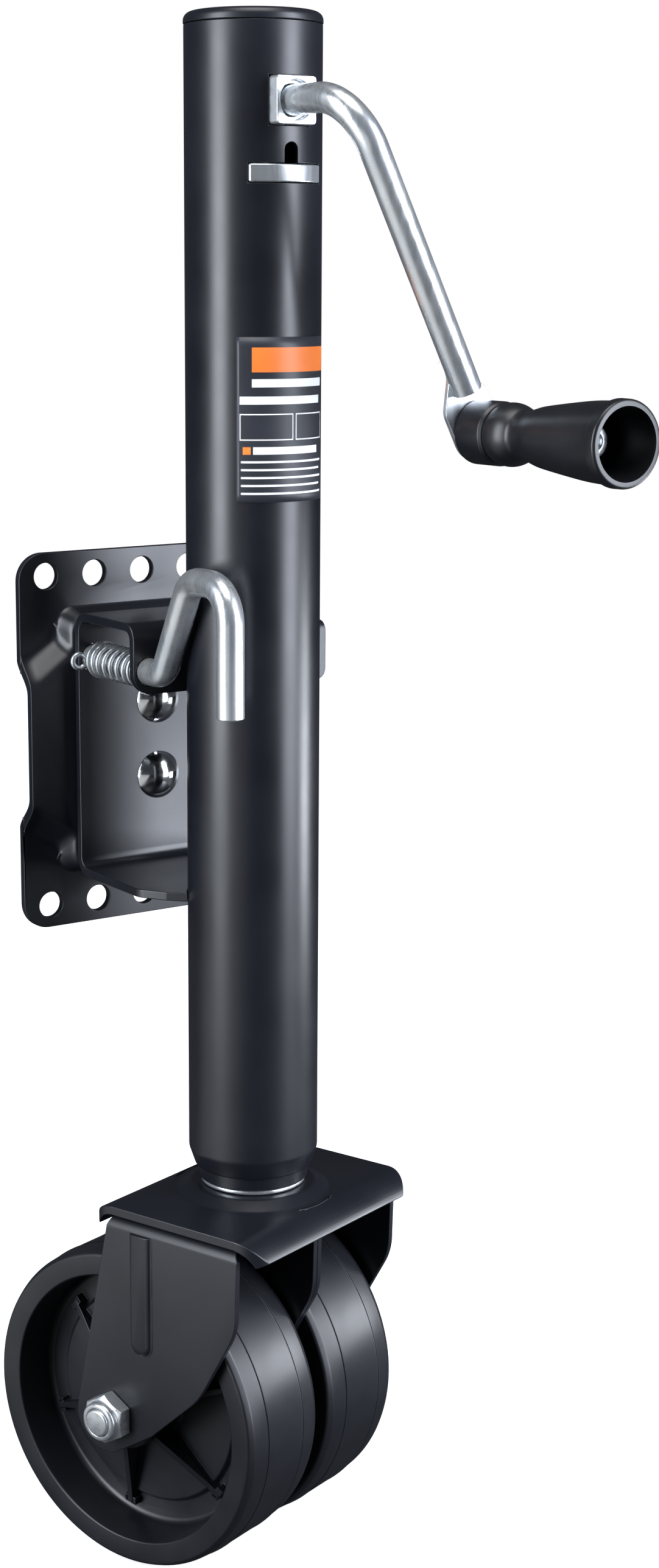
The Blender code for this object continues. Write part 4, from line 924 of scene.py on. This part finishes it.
RIB_COUNT, RIB_TURN = 6, 10
RIB_HALF, RIB = 1.5, [(17.5, 3), (58, 3), (58, 8.6), (53, 9.4), (19, 20)]
PAD_HALF, PAD = 3.4, [(54.6, 3), (58.6, 3), (58.6, 8.1), (54.6, 8.8)]


def wheel_profile(radius, half, hub_half):
    """Half of a wheel's section, mirrored: hub, web, rim, and a tread with a fine mould line."""
    bore, hub, web, floor = 9.3, 19, 6.5, 4
    tread, line = radius - 0.1, half - 12.6
    side = [
        ((bore, hub_half), 0),
        ((hub, hub_half), 1),
        ((hub + 1.2, web), 2.5),
        ((51, web), 1.2),
        ((52.6, floor), 1),
        ((radius - 14, floor), 3),
        ((radius - 12.8, half - 0.5), 0.9),
        ((radius - 2.4, half), 1.6),
        ((radius - 0.9, half - 3.2), 3),
        ((tread, line + 0.6), 0),
        ((tread, line), 0),
        ((radius + 0.02, line - 0.2), 0),
        ((tread, line - 0.4), 0),
        ((radius - 0.08, line - 1.2), 0),
    ]
    right = rounded(side, 6)
    return right + [Vector((p.x, -p.y)) for p in reversed(right)]


def wheel(node, joint):
    low, high = extent(node, CASTER)
    radius, half = (high.z - low.z) / 2, (high.x - low.x) / 2
    piece = lathe("wheel", wheel_profile(radius, half, half - 0.4), 144, hollow=True)
    tools = []
    for i in range(RIB_COUNT):
        turn = Matrix.Rotation(math.radians(360 / RIB_COUNT * i + RIB_TURN), 3, "Z")
        for wide, section in ((RIB_HALF, RIB), (PAD_HALF, PAD)):
            for face in (-1, 1):
                rows = []
                for across in (-wide, wide):
                    rows.append([turn @ Vector((x, across, face * z)) for x, z in section])
                tools.append(skin("rib", rows))
    join(piece, *tools)
    centre = CASTER.inverted() @ Vector(JOINTS[joint]["pos_m"]) / MM
    done(place(piece, CASTER, centre, FACING_RIGHT), node, 0.35)


# Small fixed pieces


def grip_bolt():
    """The bolt's head is dished, as it shows in the grip's end."""
    low, high = extent("grip_bolt", JACK)
    grip = joint_place("grip_spin")
    tip, tail = grip.y - low.y, grip.y - high.y
    head_r, head, dish_r, dish, shank_r = 6.9, 5.5, 3.9, 1.6, 4
    seat = tip - head
    profile = [((0, tip - dish), 0), ((dish_r - 0.5, tip - dish), 0.4), ((dish_r, tip), 0.5)]
    profile += [((head_r, tip), 0.9), ((head_r, seat), 0.3)]
    profile += [((shank_r, seat), 0), ((shank_r, tail), 0.8), ((0, tail), 0)]
    done(place(lathe("bolt", rounded(profile, 5), 64), JACK, grip, FACING_FRONT), "grip_bolt", 0)


def grip_nut():
    low, high = extent("grip_nut", JACK)
    grip = joint_place("grip_spin")
    tall, flats, corner = high.y - low.y, 13 / math.sqrt(3), 8
    nut = prism("nut", arc(0, 0, flats, 0, 300, 5), 0, tall)
    edge = [(0, tall), (6, tall), (corner, tall - 1.2), (corner, 1), (6.4, 0), (0, 0)]
    clip(nut, lathe("cone", edge, 64))
    cut(nut, rod("bore", 4.3, FAR, -FAR))
    done(place(nut, JACK, (grip.x, low.y, grip.z), FACING_BACK), "grip_nut", 0.25)


def pin_washer():
    low, high = extent("pin_washer", JACK)
    axis = pin_axis()
    washer = ring("washer", 9, PIN_R + 0.3, 0, high.y - low.y, 0.4, 64)
    done(place(washer, JACK, (axis.x, low.y, axis.z), FACING_BACK), "pin_washer", 0)


def cotter_pin():
    """A straight leg across the pull pin, and an open eye."""
    low, high = extent("cotter_pin", JACK)
    wire, eye = 1.15, 3.2
    middle_y, z = (low.y + high.y) / 2, pin_axis().z
    eye_x = low.x + wire + eye
    loop = [(eye_x + p.x, middle_y, z + p.y) for p in arc(0, 0, eye, 0, 318, 40)]
    path = [(high.x, middle_y, z), *loop]
    done(place(sweep("cotter", path, wire, 20)), "cotter_pin", 0)


def bearing_plate():
    """A disc with flat sides, whose ends show in the tube's slot."""
    low, high = extent("bearing_plate", JACK)
    proud, bore = 0.5, 8.7
    reach, half = TUBE_R + proud, high.x
    side = math.degrees(math.acos(half / reach))
    outline = arc(0, 0, reach, side, 180 - side, 24)
    outline += arc(0, 0, reach, 180 + side, 360 - side, 24)
    plate = prism("plate", outline, low.z, high.z)
    hole = rod("hole", bore, high.z + FAR, low.z - FAR)
    done(place(cut(plate, hole)), "bearing_plate", 0.8)


outer_tube()
bearing_plate()
top_cap()
front_bushing()
label()
swivel_bracket()
rivets()
pull_pin()
pin_spring()
pin_washer()
cotter_pin()
mounting_plate()
crank()
handle_grip()
grip_bolt()
grip_nut()
for kept in ("rear_shaft_bushing", "shaft_clip", "pivot_spacer", "pivot_retainer"):
    round_edges(frame["nodes"][kept], 0.3, clamp=True)
leg()
swivel_washer()
caster_plate()
fork("fork_near", -1)
fork("fork_far", 1)
lock_nut()
axle_bolt()
wheel("wheel_near", "wheel_near_spin")
wheel("wheel_far", "wheel_far_spin")


# Stage, light and camera. The camera's lens and sensor are in millimetres.

CAMERA_AZIMUTH = math.radians(-33)
CAMERA_DISTANCE = 1113.3 * MM
CAMERA_HEIGHT = 600.84 * MM
CAMERA_PITCH = math.radians(11.55)
FOCAL_LENGTH = 57.275
SENSOR = 36.0
SHIFT = (0.0487, 0)
TO_CAMERA = Vector((math.sin(CAMERA_AZIMUTH), -math.cos(CAMERA_AZIMUTH), 0))
TO_LEFT = Vector((-math.cos(CAMERA_AZIMUTH), -math.sin(CAMERA_AZIMUTH), 0))


def add_camera():
    data = bpy.data.cameras.new("camera")
    data.sensor_width = SENSOR
    data.lens = FOCAL_LENGTH
    data.shift_x, data.shift_y = SHIFT
    data.clip_start, data.clip_end = 0.05, 50
    camera = bpy.data.objects.new("camera", data)
    bpy.context.scene.collection.objects.link(camera)
    camera.location = BASE + TO_CAMERA * CAMERA_DISTANCE + Vector((0, 0, CAMERA_HEIGHT))
    camera.rotation_euler = (math.pi / 2 - CAMERA_PITCH, 0, CAMERA_AZIMUTH)
    bpy.context.scene.camera = camera


def floor_material():
    """Pale to the camera, fading to white with distance; dim to other rays.

    Glossy rays also find a glow to the left and front, which puts soft highlights on the jack.
    """
    material, tree, shader = new_material("floor")
    seen = add_node(tree, "LightPath").outputs["Is Camera Ray"]
    gloss = add_node(tree, "LightPath").outputs["Is Glossy Ray"]
    spot = add_node(tree, "NewGeometry").outputs["Position"]
    away = add_node(tree, "VectorMath", {0: spot}, operation="LENGTH").outputs["Value"]
    left = dot_product(tree, spot, TO_LEFT)
    front = dot_product(tree, spot, TO_CAMERA)
    tone = spread(tree, surface_noise(tree, scale=3), 0.60, 0.64)
    dim = spread(tree, left, 0.02, 0.06, start=0.15, end=0.45)
    white = spread(tree, away, 0.72, 1.0, start=0.5, end=1.1)
    from_left = spread(tree, left, 0.0, 0.62, start=0.15, end=0.3)
    from_front = spread(tree, front, 0.0, 1.0, start=-0.15, end=0.05)
    card = product(tree, product(tree, from_left, from_front), gloss)
    connect(
        tree,
        shader,
        base_color=blend_colors(tree, seen, dim, tone),
        roughness=0.9,
        emission_strength=blend_colors(tree, seen, card, white),
        emission_color=rgb(1, 1, 1),
    )
    return material


def add_floor():
    mesh = bpy.data.meshes.new("floor")
    made = bmesh.new()
    bmesh.ops.create_grid(made, x_segments=1, y_segments=1, size=6)
    made.to_mesh(mesh)
    made.free()
    mesh.materials.append(floor_material())
    floor = bpy.data.objects.new("floor", mesh)
    bpy.context.scene.collection.objects.link(floor)
    floor.location = (0, 0, GROUND - 0.2 * MM)


def add_area(name, turn, rise, distance, size, power, color=(1, 1, 1), aim=0.35):
    """A softbox that faces the jack `aim` metres up, `turn` degrees to the camera's right."""
    data = bpy.data.lights.new(name, "AREA")
    data.shape = "RECTANGLE"
    data.size, data.size_y = size
    data.energy = power
    data.color = color
    light = bpy.data.objects.new(name, data)
    bpy.context.scene.collection.objects.link(light)
    azimuth, lift = CAMERA_AZIMUTH + math.radians(turn), math.radians(rise)
    flat = math.cos(lift)
    away = Vector((math.sin(azimuth) * flat, -math.cos(azimuth) * flat, math.sin(lift)))
    light.location = BASE + Vector((0, 0, aim)) + away * distance
    light.rotation_euler = away.to_track_quat("Z", "Y").to_euler()


def add_world():
    """White to the camera, and a faint blue light to everything else."""
    world = bpy.data.worlds.new("studio")
    bpy.context.scene.world = world
    world.use_nodes = True
    tree = world.node_tree
    tree.nodes.clear()
    seen = add_node(tree, "Background", {"Color": rgb(1, 1, 1), "Strength": 1.0})
    felt = add_node(tree, "Background", {"Color": rgb(0.80, 0.86, 1.0), "Strength": 0.07})
    path = add_node(tree, "LightPath").outputs["Is Camera Ray"]
    mix = add_node(tree, "MixShader", {0: path, 1: felt.outputs[0], 2: seen.outputs[0]})
    out = tree.nodes.new("ShaderNodeOutputWorld")
    tree.links.new(mix.outputs[0], out.inputs[0])


add_camera()
add_floor()
add_world()
add_area("left strip", -58, 4, 1.6, (0.62, 2.4), power=62, color=(0.88, 0.93, 1.0))
add_area("right strip", 66, 4, 1.6, (0.66, 2.4), power=74, color=(0.84, 0.89, 1.0))
add_area("top", 10, 75, 2.0, (1.2, 1.2), power=26)
add_area("wheel light", 99, 9, 0.75, (0.22, 0.2), power=3.2, color=(0.88, 0.92, 1.0), aim=0.12)
bpy.context.scene.view_settings.view_transform = "Standard"
